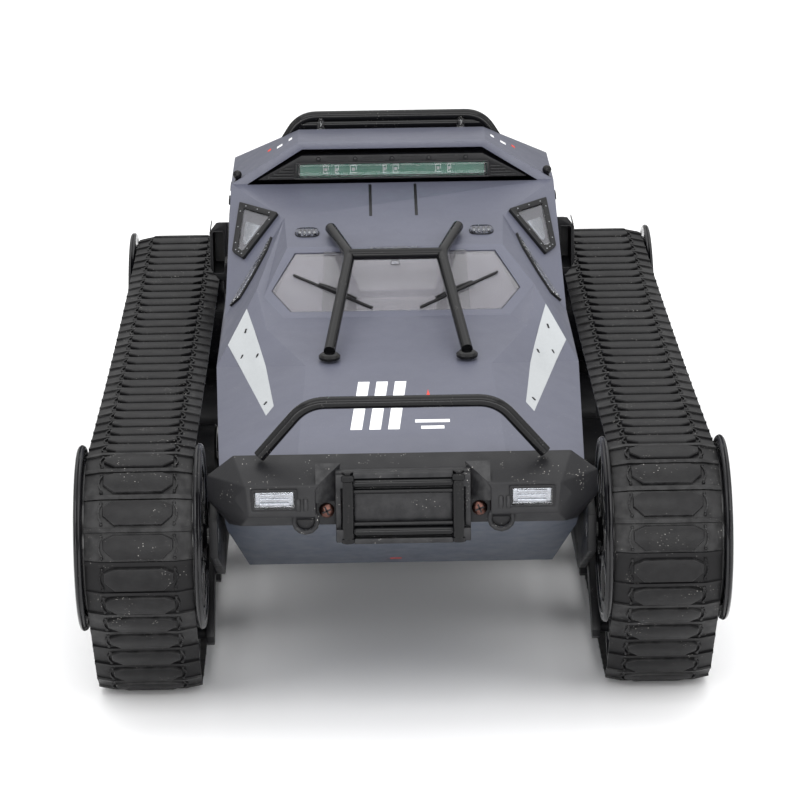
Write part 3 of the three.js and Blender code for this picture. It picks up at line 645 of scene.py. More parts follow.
def belt_path(offset):
    """Points along the belt loop in the side view as (y, z), at a distance from its inner face."""
    drum = DRUM_R + BELT_CLEAR + offset
    road = ROAD_R + BELT_CLEAR + offset
    ahead = HALF_BASE - ROAD_END
    drop = AXLE_Z - ROAD_Z
    slope = math.atan2(drop, ahead) + math.acos((drum - road) / math.hypot(ahead, drop)) - math.pi / 2
    arcs = ((-HALF_BASE, AXLE_Z, drum, 0.5 * math.pi, 1.5 * math.pi - slope),
            (-ROAD_END, ROAD_Z, road, 1.5 * math.pi - slope, 1.5 * math.pi),
            (ROAD_END, ROAD_Z, road, 1.5 * math.pi, 1.5 * math.pi + slope),
            (HALF_BASE, AXLE_Z, drum, 1.5 * math.pi + slope, 2.5 * math.pi))
    points = []
    for y, z, arc_radius, start, end in arcs:
        for i in range(65):
            angle = start + (end - start) * i / 64
            points.append(Vector((y + arc_radius * math.cos(angle), z + arc_radius * math.sin(angle))))
    top = AXLE_Z + drum
    for i in range(1, 200):
        t = i / 200
        y = HALF_BASE * (1 - 2 * t)
        points.append(Vector((y, top - 4 * BELT_SAG * t * (1 - t))))
    return points


def along(points, count):
    """Equally spaced places round a closed run of points, as (point, next point)."""
    lengths = [0.0]
    closed = points + points[:1]
    for first, second in zip(closed, closed[1:]):
        lengths.append(lengths[-1] + (second - first).length)
    places = []
    k = 0
    for i in range(count):
        target = lengths[-1] * i / count
        while lengths[k + 1] < target:
            k += 1
        t = (target - lengths[k]) / (lengths[k + 1] - lengths[k])
        places.append(closed[k].lerp(closed[k + 1], t))
    return [(places[i], places[(i + 1) % count]) for i in range(count)], lengths[-1]


def link_mesh(width):
    """One belt link: X across, Y along the belt, Z outwards from the inner face."""
    half = width / 2
    run = LINK_PITCH / 2
    made = bmesh.new()
    shoulder = 0.345 * width
    # Base web whose wings slope down and out from the pad, and the raised bar before it.
    for y0, y1, mid, edge in ((-run * 0.72, run * 1.05, 2.3 * MM, 1.0 * MM),
                              (-run * 1.02, -run * 0.76, 3.0 * MM, 1.7 * MM)):
        rows = [(-half, edge), (-half * 0.93, edge + 0.35 * MM), (-shoulder, mid), (shoulder, mid),
                (half * 0.93, edge + 0.35 * MM), (half, edge)]
        upper = [[made.verts.new((x, y, z)) for x, z in rows] for y in (y0, y1)]
        lower = [[made.verts.new((x, y, 0)) for x in (-half, half)] for y in (y0, y1)]
        for i in range(len(rows) - 1):
            made.faces.new((upper[0][i], upper[0][i + 1], upper[1][i + 1], upper[1][i]))
        for row, base in zip(upper, lower):
            made.faces.new([base[0], *row, base[1]])
        made.faces.new((lower[0][0], lower[1][0], upper[1][0], upper[0][0]))
        made.faces.new((lower[0][1], upper[0][-1], upper[1][-1], lower[1][1]))
        made.faces.new((lower[0][0], lower[0][1], lower[1][1], lower[1][0]))
    # Raised octagonal pad.
    x1, x2 = 0.325 * width, 0.23 * width
    y1, y2, y3, y4 = -0.60 * run, -0.30 * run, 0.28 * run, 0.88 * run
    octagon = [(-x2, y1), (x2, y1), (x1, y2), (x1, y3), (x2 * 0.98, y4), (-x2 * 0.98, y4), (-x1, y3),
               (-x1, y2)]
    prism(made, octagon, ((0.0, 1.9 * MM), (0.0, BELT_THICK - 0.5 * MM), (0.28 * MM, BELT_THICK - 0.12 * MM),
                          (0.7 * MM, BELT_THICK)))
    # Curved ribs and corner studs beside the pad.
    for sign in (-1, 1):
        rib = []
        for i in range(7):
            angle = math.radians(-42 + 14 * i)
            rib.append((sign * (0.245 * width + 4.6 * MM * math.cos(angle)),
                        0.12 * run + 5.2 * MM * math.sin(angle)))
        for first, second in zip(rib, rib[1:]):
            dx, dy = second[0] - first[0], second[1] - first[1]
            size = math.hypot(dx, dy)
            nx, ny = -dy / size * 0.28 * MM, dx / size * 0.28 * MM
            strip = [(first[0] - nx, first[1] - ny), (second[0] - nx, second[1] - ny),
                     (second[0] + nx, second[1] + ny), (first[0] + nx, first[1] + ny)]
            prism(made, strip, mm_pairs((0, 1.4), (0.06, 3.0)))
        for y in (-0.52 * run, 0.80 * run):
            spot = Matrix.Translation((sign * 0.338 * width, y, 0))
            lathe(made, mm_pairs((1.2, 0.62), (2.75, 0.62), (3.05, 0.35), (3.1, 0)), 8, spot)
    # Guide horn on the inner face.
    block(made, mm(-1.2, -1.6, 0.1), mm(1.2, 2.4, -1.7), 0.4 * MM)
    bmesh.ops.recalc_face_normals(made, faces=made.faces)
    mesh = bpy.data.meshes.new("belt_link")
    made.to_mesh(mesh)
    made.free()
    return mesh


def make_belts():
    middle = belt_path(BELT_THICK / 2)
    _, length = along(middle, 10)
    places, _ = along(middle, round(length / LINK_PITCH))
    for side, _ in SIDES:
        low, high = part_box(f"track_belt_{side}")
        link = link_mesh((high.x - low.x) * 0.995)
        made = bmesh.new()
        for first, second in places:
            run = (second - first).normalized()
            out = Vector((0, run.y, -run.x))
            spot = (first + second) / 2
            matrix = Matrix((Vector((1, 0, 0)), Vector((0, run.x, run.y)), out)).transposed().to_4x4()
            matrix.translation = Vector(((low.x + high.x) / 2, spot.x, spot.y)) - out * BELT_THICK / 2
            if matrix.determinant() < 0:
                matrix = matrix @ Matrix.Scale(-1, 4, (1, 0, 0))
            start = len(made.verts)
            made.from_mesh(link)
            made.verts.ensure_lookup_table()
            for vert in made.verts[start:]:
                vert.co = matrix @ vert.co
        bpy.data.meshes.remove(link)
        belt = from_bmesh(f"belt_{side}", made, 28)
        keep(belt, "belt", replaces=(f"track_belt_{side}",))


def window_outlines(count, inner, outer, gap, corner):
    """Rounded windows set round a ring, between two radii."""
    outlines = []
    for k in range(count):
        middle = 2 * math.pi * (k + 0.5) / count
        half = math.pi / count
        arc = []
        for ring_radius, order in ((outer, range(7)), (inner, range(6, -1, -1))):
            spread = half - gap / ring_radius
            for i in order:
                angle = middle - spread + 2 * spread * i / 6
                arc.append((ring_radius * math.cos(angle), ring_radius * math.sin(angle)))
        outlines.append(rounded(arc, corner, 3))
    return outlines


def wheel_disc(y, z, low_x, high_x, sign, hub_out):
    """A side disc with a rolled rim, six windows and a bolted hub."""
    thickness = abs(high_x - low_x)
    place = across((low_x + high_x) / 2, y, z, sign)
    rim = DISC_R
    holes = window_outlines(6, rim * 0.40, rim * 0.78, 3.0 * MM, 2.6 * MM)
    web = plate([circle((0, 0), rim * 0.93, 64), *holes], thickness * 0.62, 0.4 * MM, place)
    made = bmesh.new()
    face = thickness * 0.5
    ring = []
    for k in range(17):
        angle = 2 * math.pi * k / 16
        ring.append((face * math.sin(angle), rim - face + face * math.cos(angle)))
    lathe(made, ring, 96, place)
    lathe(made, ((-face, rim * 0.36), (face * 0.7, rim * 0.36),
                 (face * 0.8, rim * 0.335), (face * 0.8, rim * 0.26),
                 (face * 0.8, rim * 0.14), (face + hub_out, rim * 0.12), (face + hub_out, 0)), 40, place)
    for k in range(6):
        angle = 2 * math.pi * k / 6
        spot = moved(place, rim * 0.30 * math.cos(angle), rim * 0.30 * math.sin(angle))
        lathe(made, ((0, 1.3 * MM), (face - 0.1 * MM, 1.3 * MM), (face, 0.9 * MM), (face, 0)), 6, spot)
    return [web, from_bmesh("disc_rim", made)]


def make_end_wheels():
    belt_low, belt_high = BELT_LOW.x, BELT_HIGH.x
    mid = (belt_low + belt_high) / 2
    disc = 2.8 * MM
    groove = 2.6 * MM
    for kind, body, teeth in (("front_wheel", "front", 0), ("drive_sprocket", "drive", 15)):
        for side, sign in SIDES:
            node = f"{kind}_{side}"
            low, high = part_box(node)
            y, z = centre(node).y, centre(node).z
            axle_end, outer = sorted((abs(low.x), abs(high.x)))
            parts = wheel_disc(y, z, sign * (outer - disc), sign * outer, sign, -0.1 * MM)
            parts += wheel_disc(y, z, sign * (belt_low - 3.2 * MM), sign * (belt_low - 0.4 * MM), -sign,
                                0.9 * MM)
            made = bmesh.new()
            place = across(0, y, z, sign)
            # Half of the drum's section, dished at the end and with a groove in the middle.
            end, floor, wall = belt_low - 1 * MM, belt_low + 8 * MM, DRUM_R * 0.92
            half_drum = [(floor, DRUM_R * 0.5), (floor, wall), (end, wall), (end, DRUM_R),
                         (mid - groove, DRUM_R),
                         (mid - groove, DRUM_R * 0.86)]
            lathe(made, half_drum + [(2 * mid - x, r) for x, r in reversed(half_drum)] + half_drum[:1], 72,
                  place)
            lathe(made, ((axle_end, 0), (axle_end, 2.9 * MM), (belt_high, 2.9 * MM), (belt_high, 0)), 24,
                  place)
            for k in range(teeth):
                turn = turned(place, 2 * math.pi * k / teeth)
                for x in (mid - 9 * MM, mid + 9 * MM):
                    block(made, (DRUM_R * 0.9, -1.4 * MM, x - 1.5 * MM),
                          (DRUM_R + 0.15 * MM, 1.4 * MM, x + 1.5 * MM), 0, turn)
            parts.append(from_bmesh("drum", made))
            wheel = join_pieces(f"{node}_wheel", parts)
            keep(wheel, "gloss", body=f"{body}_{side}", replaces=(node,))


def make_road_wheels():
    for side, sign in SIDES:
        for i in range(1, ROAD_COUNT + 1):
            node = f"road_wheel_{side}_{i}"
            low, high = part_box(node)
            spot = centre(node)
            near, far = sorted((abs(low.x), abs(high.x)))
            mid = (near + far) / 2
            place = across(0, spot.y, spot.z, sign)
            rim = ROAD_R
            dish, bore, chamfer = 2 * MM, 2.7 * MM, 0.9 * MM
            half = [(near, bore), (near, rim * 0.30), (near + dish, rim * 0.34), (near + dish, rim * 0.70),
                    (near, rim * 0.78), (near, rim - chamfer), (near + chamfer, rim), (mid - 3.8 * MM, rim),
                    (mid - 3.0 * MM, rim - 0.8 * MM), (mid - 2.4 * MM, rim * 0.80)]
            made = bmesh.new()
            lathe(made, half + [(2 * mid - x, r) for x, r in reversed(half)] + half[:1], 48, place)
            for k in range(5):
                turn = turned(place, 2 * math.pi * (k + 0.5) / 5)
                block(made, (rim * 0.30, -1.1 * MM, far - 2.2 * MM), (rim * 0.80, 1.1 * MM, far - 0.3 * MM),
                      0.2 * MM, turn)
            wheel = from_bmesh(f"{node}_wheel", made)
            keep(wheel, "wheel", body=f"wheel_{side}_{i}", replaces=(node,))
            arm = f"swing_arm_{side}_{i}"
            copied(arm, "black", 0.35 * MM, 40, body=f"arm_{side}_{i}")
            tip = max(abs(c.x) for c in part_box(arm))
            made = bmesh.new()
            lathe(made, ((tip + 0.2 * MM, 3.6 * MM), (tip + 0.9 * MM, 3.6 * MM), (tip + 1.0 * MM, 2.6 * MM),
                         (tip + 1.0 * MM, 0)), 6, place)
            built(f"axle_nut_{side}_{i}", made, "steel", body=f"arm_{side}_{i}")


def cross_screws(name, places, head_radius, body, slot="steel", look="steel"):
    """Round-headed screws with a cross recess drawn as a black cross of painted shade, each looking along its
    place's Z axis.
    """
    heads = bmesh.new()
    slots = bmesh.new()
    top = head_radius * 0.55
    for place in places:
        lathe(heads, ((-0.2 * MM, head_radius), (top * 0.3, head_radius), (top * 0.75, head_radius * 0.8),
                      (top, head_radius * 0.4), (top, 0)), 20, place)
        # The recess is not cut: a black cross set into each head is painted shade standing in for the dark
        # inside of the recess.
        for turn in (0.4, 0.4 + math.pi / 2):
            half = head_radius * 0.6
            arm = head_radius * 0.11
            block(slots, (-half, -arm, top * 0.6), (half, arm, top * 1.03), 0, turned(place, turn))
    built(name, heads, look, body=body, slot=slot)
    # The black cross pieces are painted shade for the screws' recesses.
    built(f"{name}_recess", slots, "black", body=body)


def make_drive():
    """Side frames, gears and motors."""
    for side, sign in SIDES:
        frame_node = f"side_frame_{side}"
        copied(frame_node, "black", 0.4 * MM)
        low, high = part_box(frame_node)
        outer = max(abs(low.x), abs(high.x))
        places = []
        for k in range(7):
            y = low.y * 0.56 + (high.y - low.y) * 0.56 * k / 6
            places.append(across(sign * outer, y, part_way(low.z, high.z, 0.42), sign))
        cross_screws(f"frame_screws_{side}", places, 1.6 * MM, ROOT)
        for name, look, body in (("drive_gear", "steel", "drive"), ("motor_pinion", "brass", "motor")):
            node = f"{name}_{side}"
            copied(node, look, 0.12 * MM, 25, 1, body=f"{body}_{side}")
        node = f"drive_motor_{side}"
        low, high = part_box(node)
        spot = centre(node)
        back, face = sorted((abs(low.x), abs(high.x)))
        can = radius(node)
        made = bmesh.new()
        place = across(0, spot.y, spot.z, sign)
        step = back + 0.8 * MM
        lip = face - 1 * MM
        lathe(made, ((back, 0), (back, can * 0.3), (step, can * 0.34), (step, can * 0.90),
                     (back + 1.8 * MM, can), (back + 6 * MM, can), (back + 6.3 * MM, can * 0.97),
                     (face - 2 * MM, can * 0.97), (lip, can * 0.93), (lip, can * 0.35),
                     (face, can * 0.33), (face, 0)), 48, place)
        for turn in (-0.5, 0.5):
            tab = turned(place, turn)
            block(made, (can * 0.55, -1.4 * MM, back - 0.1 * MM), (can * 0.80, 1.4 * MM, back + 1.2 * MM), 0,
                  tab)
        built(f"{node}_can", made, "steel", replaces=(node,))

# ------------------------------------------------------------------ body and cab


def make_body():
    copied("body_shell", "body", 0.45 * MM)
    copied("hull_tub", "hull", 0.5 * MM)
    copied("battery_hatch", "hull", 0.3 * MM)
    copied("power_switch", "black", 0.3 * MM, body="switch")
    low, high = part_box("battery_hatch")
    inset = 4 * MM
    places = [facing((x, y, low.z), DOWN, (0, 1, 0))
              for x in (low.x + inset, high.x - inset) for y in (low.y + inset, high.y - inset)]
    hull_low, hull_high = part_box("hull_tub")
    for y in (0.42, 0.62, 0.84):
        for x in (-0.68, 0.68):
            spot, _ = cast("hull_tub", (hull_high.x * x, part_way(hull_low.y, hull_high.y, y), 0), (0, 0, 1))
            places.append(facing(spot, DOWN, (0, 1, 0)))
    cross_screws("belly_screws", places, 2.2 * MM, ROOT)
    # Two moulded ribs along the belly, beside the hatch.
    made = bmesh.new()
    for x in (low.x - 9 * MM, high.x + 7 * MM):
        soft_block(made, (x, low.y - 20 * MM, low.z - 0.8 * MM),
                   (x + 2 * MM, high.y + 60 * MM, low.z + 0.5 * MM), 0.3 * MM)
    built("belly_ribs", made, "hull")
    # A small printed bar low on the bow.
    spot, normal = cast("hull_tub", (-2 * MM, hull_low.y - 20 * MM, hull_low.z + 4 * MM), (0, 1, 0))
    mark = printed(rectangle(4.4 * MM, 1.4 * MM), facing(spot, normal))
    joined("bow_mark", [mark], "red_print", slot="hull_plastic")


def make_doors():
    """Doors with a framed dark window, a handle and two hinge leaves."""
    low, high = DOOR_LOW, DOOR_HIGH
    long, tall = high.y - low.y, high.z - low.z
    # The window as fractions of the door's length and height.
    window = ((0.32, 0.42), (0.58, 0.90), (0.90, 0.90), (0.94, 0.42))
    frame_width = 2.2 * MM
    pane_thick = 0.5 * MM
    outside = 90 * MM
    for side, sign in SIDES:
        door = f"door_{side}"
        copied(door, "body", 0.35 * MM, body=door)
        inward = (-sign, 0, 0)
        flat = [(low.y + long * y, low.z + tall * z) for y, z in window]
        for name, outline, look, lift in (
                ("window_frame", rounded(flat, 3 * MM), "black", 0.05 * MM),
                ("window_glass", rounded(drawn_in(flat, frame_width), 2 * MM), "tinted", 0.40 * MM)):
            points = [Vector((sign * high.x, y, z)) for y, z in outline]
            skin = draped(f"{door}_{name}", points, door, inward, lift, pane_thick, 3)
            keep(skin, look, body=door)
        made = bmesh.new()
        spot, normal = cast(door, (sign * outside, low.y + long * 0.78, low.z + tall * 0.27), inward)
        place = facing(spot, normal)
        soft_block(made, mm(-6, -1.2, 0.4), mm(6, 1.2, 1.8), 0.4 * MM, place)
        for x in (-5 * MM, 5 * MM):
            soft_block(made, (x - 1 * MM, -1 * MM, -0.3 * MM), (x + 1 * MM, 1 * MM, 0.6 * MM), 0.2 * MM,
                       place)
        for part in (0.62, 0.88):
            spot, normal = cast(door, (sign * outside, low.y + long * part, high.z - 1.8 * MM), inward)
            hinge = facing(spot, normal)
            soft_block(made, mm(-3.5, -1.3, -0.2), mm(3.5, 1.3, 0.8), 0.25 * MM, hinge)
        built(f"{door}_fittings", made, "black", body=door)


def make_quarter_windows():
    """Riveted quarter lights ahead of the doors, and a narrow riveted strip below each."""
    face = (DOOR_SILL, EAVE, COWL)
    corners = ((0.1, 0.7, 0.2), (0.0, 0.1, 0.9), (0.5, 0.2, 0.3), (0.5, 0.4, 0.1))
    strip_face = (PILLAR_FOOT, DOOR_SILL, COWL)
    strip_corners = ((0.0, 0.2, 0.8), (0.0, 0.9, 0.1), (0.3, 0.6, 0.1), (0.3, 0.4, 0.3), (0.2, 0.2, 0.6))
    for side, sign in SIDES:
        for name, parts, weights, width, thick, corner, rivet_r, rivet_count in (
                ("quarter", face, corners, *mm(2.5, 1.6, 0.8, 0.36), 3),
                ("strip", strip_face, strip_corners, *mm(0.9, 1.1, 0.4, 0.24), 4)):
            points = [blended(parts, weight, sign) for weight in weights]
            place, outline = flat_outline(points, "body_shell")
            hole = drawn_in(outline, width)
            lifted = moved(place, z=thick / 2 - 0.05 * MM)
            rim = plate([rounded(outline, corner), rounded(hole, corner * 0.7)], thick, 0.22 * MM, lifted)
            joined(f"{name}_frame_{side}", [rim], "black")
            made = bmesh.new()
            for i in range(len(outline)):
                j = (i + 1) % len(outline)
                for k in range(rivet_count):
                    t = (k + 0.4) / (rivet_count - 0.2)
                    on_edge, on_hole = (Vector(run[i]).lerp(Vector(run[j]), t) for run in (outline, hole))
                    middle = (on_edge + on_hole) / 2
                    stud(made, place, middle.x, middle.y, rivet_r, thick + 0.15 * MM)
            built(f"{name}_rivets_{side}", made, "steel")
            made = bmesh.new()
            domed = mm_pairs((0, 0.5), (0, 1.0), (0.3, 1.3))
            prism(made, rounded(drawn_in(hole, 0.1 * MM), 0.6 * MM), domed, place)
            built(f"{name}_glass_{side}", made, "clear")
            base = printed(rounded(drawn_in(hole, 0.2 * MM), 0.5 * MM), moved(place, z=0.12 * MM))
            joined(f"{name}_lining_{side}", [base], "lining")
            middle = sum((Vector(p) for p in hole), Vector((0, 0))) / len(hole)
            low_corner = Vector(hole[2])
            inner = [tuple(Vector(p).lerp(middle.lerp(low_corner, 0.25), 0.45)) for p in hole]
            back = printed(rounded(inner, 0.5 * MM), moved(place, z=0.32 * MM))
            joined(f"{name}_reflector_{side}", [back], "reflector")


def make_screen():
    """The windscreen pane with what shows behind it, its trim, a small lamp and two wipers."""
    copied("windscreen", "smoked", 0.25 * MM)
    low, high = SCREEN_LOW, SCREEN_HIGH
    foot = Vector((0, low.y, part_way(low.z, high.z, 0.06)))
    head = Vector((0, high.y, high.z))
    up = (head - foot).normalized()
    normal = Vector((0, -up.z, up.y))
    long = (head - foot).length
    place = facing((foot + head) / 2, normal)
    half = high.x

    def on_screen(x_part, up_part, depth):
        return Vector((half * x_part, long * (up_part - 0.5), depth))

    behind = moved(place, z=-2.4 * MM)
    shape = [(-0.86, 0.04), (0.86, 0.04), (0.97, 0.33), (0.82, 0.97), (-0.82, 0.97), (-0.97, 0.33)]
    lining = plate([[tuple(on_screen(x, y, 0).xy) for x, y in shape]], 0.5 * MM, 0.1 * MM, behind)
    joined("screen_lining", [lining], "lining")
    for side, sign in SIDES:
        shape = [(0.42, 0.97), (0.58, 0.97), (0.60, 0.02), (0.30, 0.02), (0.38, 0.40)]
        pillar = plate([[tuple(on_screen(sign * x, y, 0).xy) for x, y in shape]], 0.3 * MM, 0.05 * MM,
                       moved(behind, z=0.5 * MM))
        joined(f"screen_pillar_{side}", [pillar], "black")
        made = bmesh.new()
        tip = on_screen(sign * 0.83, 0.60, 1.3 * MM)
        heel = on_screen(sign * 0.19, 0.02, 1.3 * MM)
        run = (tip - heel).normalized()
        turn = Matrix((run, run.cross(Vector((0, 0, -1))), Vector((0, 0, 1)))).transposed().to_4x4()
        turn.translation = heel
        blade = (tip - heel).length
        soft_block(made, (0, -0.45 * MM, -0.5 * MM), (blade, 0.45 * MM, 0.1 * MM), 0.12 * MM, place @ turn)
        soft_block(made, (blade * 0.02, -0.2 * MM, -1.2 * MM), (blade * 0.98, 0.2 * MM, -0.5 * MM),
                   0.05 * MM, place @ turn)
        soft_block(made, (blade * 0.40, -0.9 * MM, 0.0), (blade * 0.68, 0.3 * MM, 0.8 * MM), 0.3 * MM,
                   place @ turn)
        built(f"wiper_{side}", made, "black")
        route = [(0.62, 0.43, 1.6), (0.50, 0.34, 1.8), (0.32, 0.17, 1.6)]
        arm = round_tube("arm", [place @ on_screen(sign * x, y, z * MM) for x, y, z in route], 0.5 * MM,
                         3 * MM)
        joined(f"wiper_arm_{side}", [arm], "black")
    made = bmesh.new()
    for x0, x1, y0, y1, top in ((-0.58, 0.58, 0.94, 1.0, 0.9), (-0.20, 0.20, 0.95, 1.05, 1.5)):
        a, b = on_screen(x0, y0, 0), on_screen(x1, y1, top * MM)
        soft_block(made, a, b, 0.25 * MM, place)
    built("screen_trim", made, "clear")
    lamp = moved(place, *on_screen(0, 0.80, 0.1 * MM))
    make_oval_lamp("screen_lamp", lamp, 3.4 * MM, 1.8 * MM, 2)


def stadium(length, width):
    return rounded(rectangle(length, width), width * 0.48, 8)


def make_oval_lamp(name, place, length, width, ribs):
    """A small clear oval lens over a bright ribbed reflector."""
    lens = plate([stadium(length, width)], 1.4 * MM, 0.5 * MM, moved(place, z=0.6 * MM))
    joined(name, [lens], "clear")
    rim = plate([stadium(length + 0.5 * MM, width + 0.5 * MM), stadium(length - 0.3 * MM, width - 0.3 * MM)],
                0.5 * MM, 0.15 * MM, moved(place, z=0.15 * MM))
    joined(f"{name}_rim", [rim], "black")
    made = bmesh.new()
    for k in range(ribs):
        x = (k - (ribs - 1) / 2) * length * 0.2
        soft_block(made, (x - 0.05 * length, -width * 0.25, -0.1 * MM),
                   (x + 0.05 * length, width * 0.25, 0.5 * MM), 0.1 * MM, place)
    built(f"{name}_reflector", made, "reflector")


def make_cowl_details():
    """Marker lamps on the cowl, deck slots drawn as black strips of painted shade, eave knobs and roof marks.
    """
    for side, sign in SIDES:
        x = sign * COWL.x * 0.79
        y = COWL.y + (SCREEN_HIGH.y - COWL.y) * 0.52
        spot, normal = cast_down("body_shell", x, y)
        make_oval_lamp(f"marker_lamp_{side}", facing(spot, normal), 9.2 * MM, 7.6 * MM, 4)
        # Each deck slot is not cut: a thin black strip on the deck is painted shade standing in for the dark
        # opening.
        made = bmesh.new()
        slot_x = sign * COWL.x * 0.21
        front, front_normal = cast_down("body_shell", slot_x, COWL.y + 0.5 * MM)
        back, _ = cast_down("body_shell", slot_x, EAVE.y - 2.5 * MM)
        deck = facing(front, front_normal)
        soft_block(made, (-0.6 * MM, 0, -0.5 * MM), (0.6 * MM, (back - front).length, 0.12 * MM), 0.05 * MM,
                   deck)
        built(f"deck_slot_painted_shade_{side}", made, "black")
        made = bmesh.new()
        post = Matrix.Translation(mirrored(EAVE, sign) + Vector((-sign * 2.6, 1.6, -0.5)) * MM)
        ball = [(4.2 * MM + 1.9 * MM * math.sin(a), 1.9 * MM * math.cos(a))
                for a in [math.pi * (k / 10 - 0.5) for k in range(1, 10)]]
        lathe(made, [(0, 0), (0, 1.6 * MM), (1.2 * MM, 1.6 * MM), (1.5 * MM, 1.1 * MM), (2.2 * MM, 1.1 * MM),
                     *ball, (6.1 * MM, 0)], 20, post)
        built(f"eave_knob_{side}", made, "tube", slot="black_moulding")
        # Two pale printed marks and a red one down the sloping side of the roof.
        down = mirrored(EAVE - ROOF_FRONT, sign)
        corner = mirrored(ROOF_FRONT, sign)
        for k, (drop, back_by, wide, look) in enumerate(((0.12, 19, 1.6, "white"), (0.28, 18, 2.6, "white"),
                                                         (0.44, 23, 1.6, "red_print"))):
            spot, normal = nearest("body_shell", corner + down * drop + Vector((0, back_by * MM, 0)))
            mark = printed(rectangle(3.6 * MM, wide * MM), facing(spot, normal))
            joined(f"roof_mark_{k + 1}_{side}", [mark], look, slot="body_paint")


def make_light_bar():
    """The louvred housing in the roof front, with its bolts, lens, and the board behind the lens."""
    node = "light_bar_housing"
    copied(node, "black", 0.3 * MM)
    low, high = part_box(node)
    lens_low, lens_high = LENS_LOW, LENS_HIGH
    face = low.y
    tall = high.z - low.z
    made = bmesh.new()
    slant = 18 * MM / tall
    for sign in (-1, 1):
        for k in range(6):
            z = low.z + tall * (k + 0.8) / 8.2
            outer = high.x - (z - low.z) * slant - 2.5 * MM
            inner = lens_high.x + 1.6 * MM
            if outer - inner > 2 * MM:
                soft_block(made, (sign * inner, face - 1.0 * MM, z - 0.35 * MM),
                           (sign * outer, face + 0.2 * MM, z + 0.35 * MM), 0.12 * MM)
    # Frame round the lens, and the slot shapes in the upper band.
    edge = 0.9 * MM
    for x0, x1, z0, z1 in ((lens_low.x - edge, lens_high.x + edge, lens_high.z + 0.1 * MM,
                            lens_high.z + edge),
                           (lens_low.x - edge, lens_high.x + edge, lens_low.z - 0.8 * MM,
                            lens_low.z - 0.1 * MM),
                           (lens_low.x - edge, lens_low.x - 0.1 * MM, lens_low.z, lens_high.z),
                           (lens_high.x + 0.1 * MM, lens_high.x + edge, lens_low.z, lens_high.z)):
        soft_block(made, (x0, face - 0.6 * MM, z0), (x1, face + 0.3 * MM, z1), 0.15 * MM)
    band = (lens_high.z + high.z) / 2 + 0.3 * MM
    bolt_count = 5
    step = lens_high.x * 0.39
    up = facing((0, face, band), (0, -1, 0))
    for k in range(bolt_count):
        x = (k - (bolt_count - 1) / 2) * step
        stud(made, up, x, 0, 1.0 * MM, 0.9 * MM, 6)
        if k < bolt_count - 1:
            mid = x + step / 2
            for z in (-0.9 * MM, 0.9 * MM):
                soft_block(made, (mid - step * 0.3, z - 0.2 * MM, -0.1 * MM),
                           (mid + step * 0.3, z + 0.2 * MM, 0.4 * MM), 0.1 * MM, up)
    built("light_bar_louvres", made, "wheel", slot="black_moulding")
    made = bmesh.new()
    soft_block(made, lens_low, lens_high, 0.45 * MM)
    built("light_bar_glass", made, "clear", replaces=("light_bar_lens",))
    low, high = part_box("light_bar_board")
    made = bmesh.new()
    soft_block(made, low, high, 0.15 * MM)
    built("light_bar_circuit", made, "board", replaces=("light_bar_board",))
    tracks = bmesh.new()
    chips = bmesh.new()
    face_place = facing((0, low.y, (low.z + high.z) / 2), (0, -1, 0))
    line = 0.14 * MM
    for part, wide in ((-0.72, 2.2), (-0.60, 1.5), (-0.42, 2.6), (-0.08, 1.5), (0.04, 2.4), (0.50, 2.2),
                       (0.62, 1.5)):
        x = high.x * part
        w, h = wide * MM / 2, 1.5 * MM
        for x0, x1, y0, y1 in ((x - w, x + w, h - line, h), (x - w, x + w, -h, line - h),
                               (x - w, x - w + line, -h, h),
                               (x + w - line, x + w, -h * 0.2, h)):
            block(tracks, (x0, y0, 0), (x1, y1, 0.1 * MM), 0, face_place)
        soft_block(chips, (x - w * 0.5, -h * 0.4, 0), (x + w * 0.5, h * 0.4, 0.5 * MM), 0.08 * MM, face_place)
    built("board_print", tracks, "white", slot="circuit_board")
    built("board_lamps", chips, "silver", slot="circuit_board")


def make_badges():
    """Kite-shaped silver panels on the flanks, each with four short slots."""
    for side, sign in SIDES:
        top = mirrored(PILLAR_FOOT.lerp(SHOULDER, 0.25), sign)
        out = mirrored(PILLAR_FOOT.lerp(SHOULDER, 0.72), sign)
        tip = mirrored(BONNET_BEND.lerp(CORNER_TOP, 0.47), sign)
        heel = mirrored(BONNET_BEND.lerp(CORNER_TOP, 0.38), sign)
        inward = (-sign * 0.5, 0.15, -1)
        skin = draped(f"side_badge_{side}", [top, out, tip, heel], "body_shell", inward, 0.03 * MM)
        keep(skin, "silver")
        made = bmesh.new()
        for weights in ((0.62, 0.28, 0.05, 0.05), (0.48, 0.17, 0.10, 0.25), (0.14, 0.66, 0.10, 0.10),
                        (0.06, 0.06, 0.58, 0.30)):
            spot, normal = nearest("body_shell", blended((top, out, tip, heel), weights))
            place = turned(facing(spot, normal, (0, 1, 0)), 0.5 * sign)
            block(made, mm(-0.4, -1.1, -0.2), mm(0.4, 1.1, 0.3), 0.1 * MM, place)
        built(f"badge_slots_{side}", made, "black")


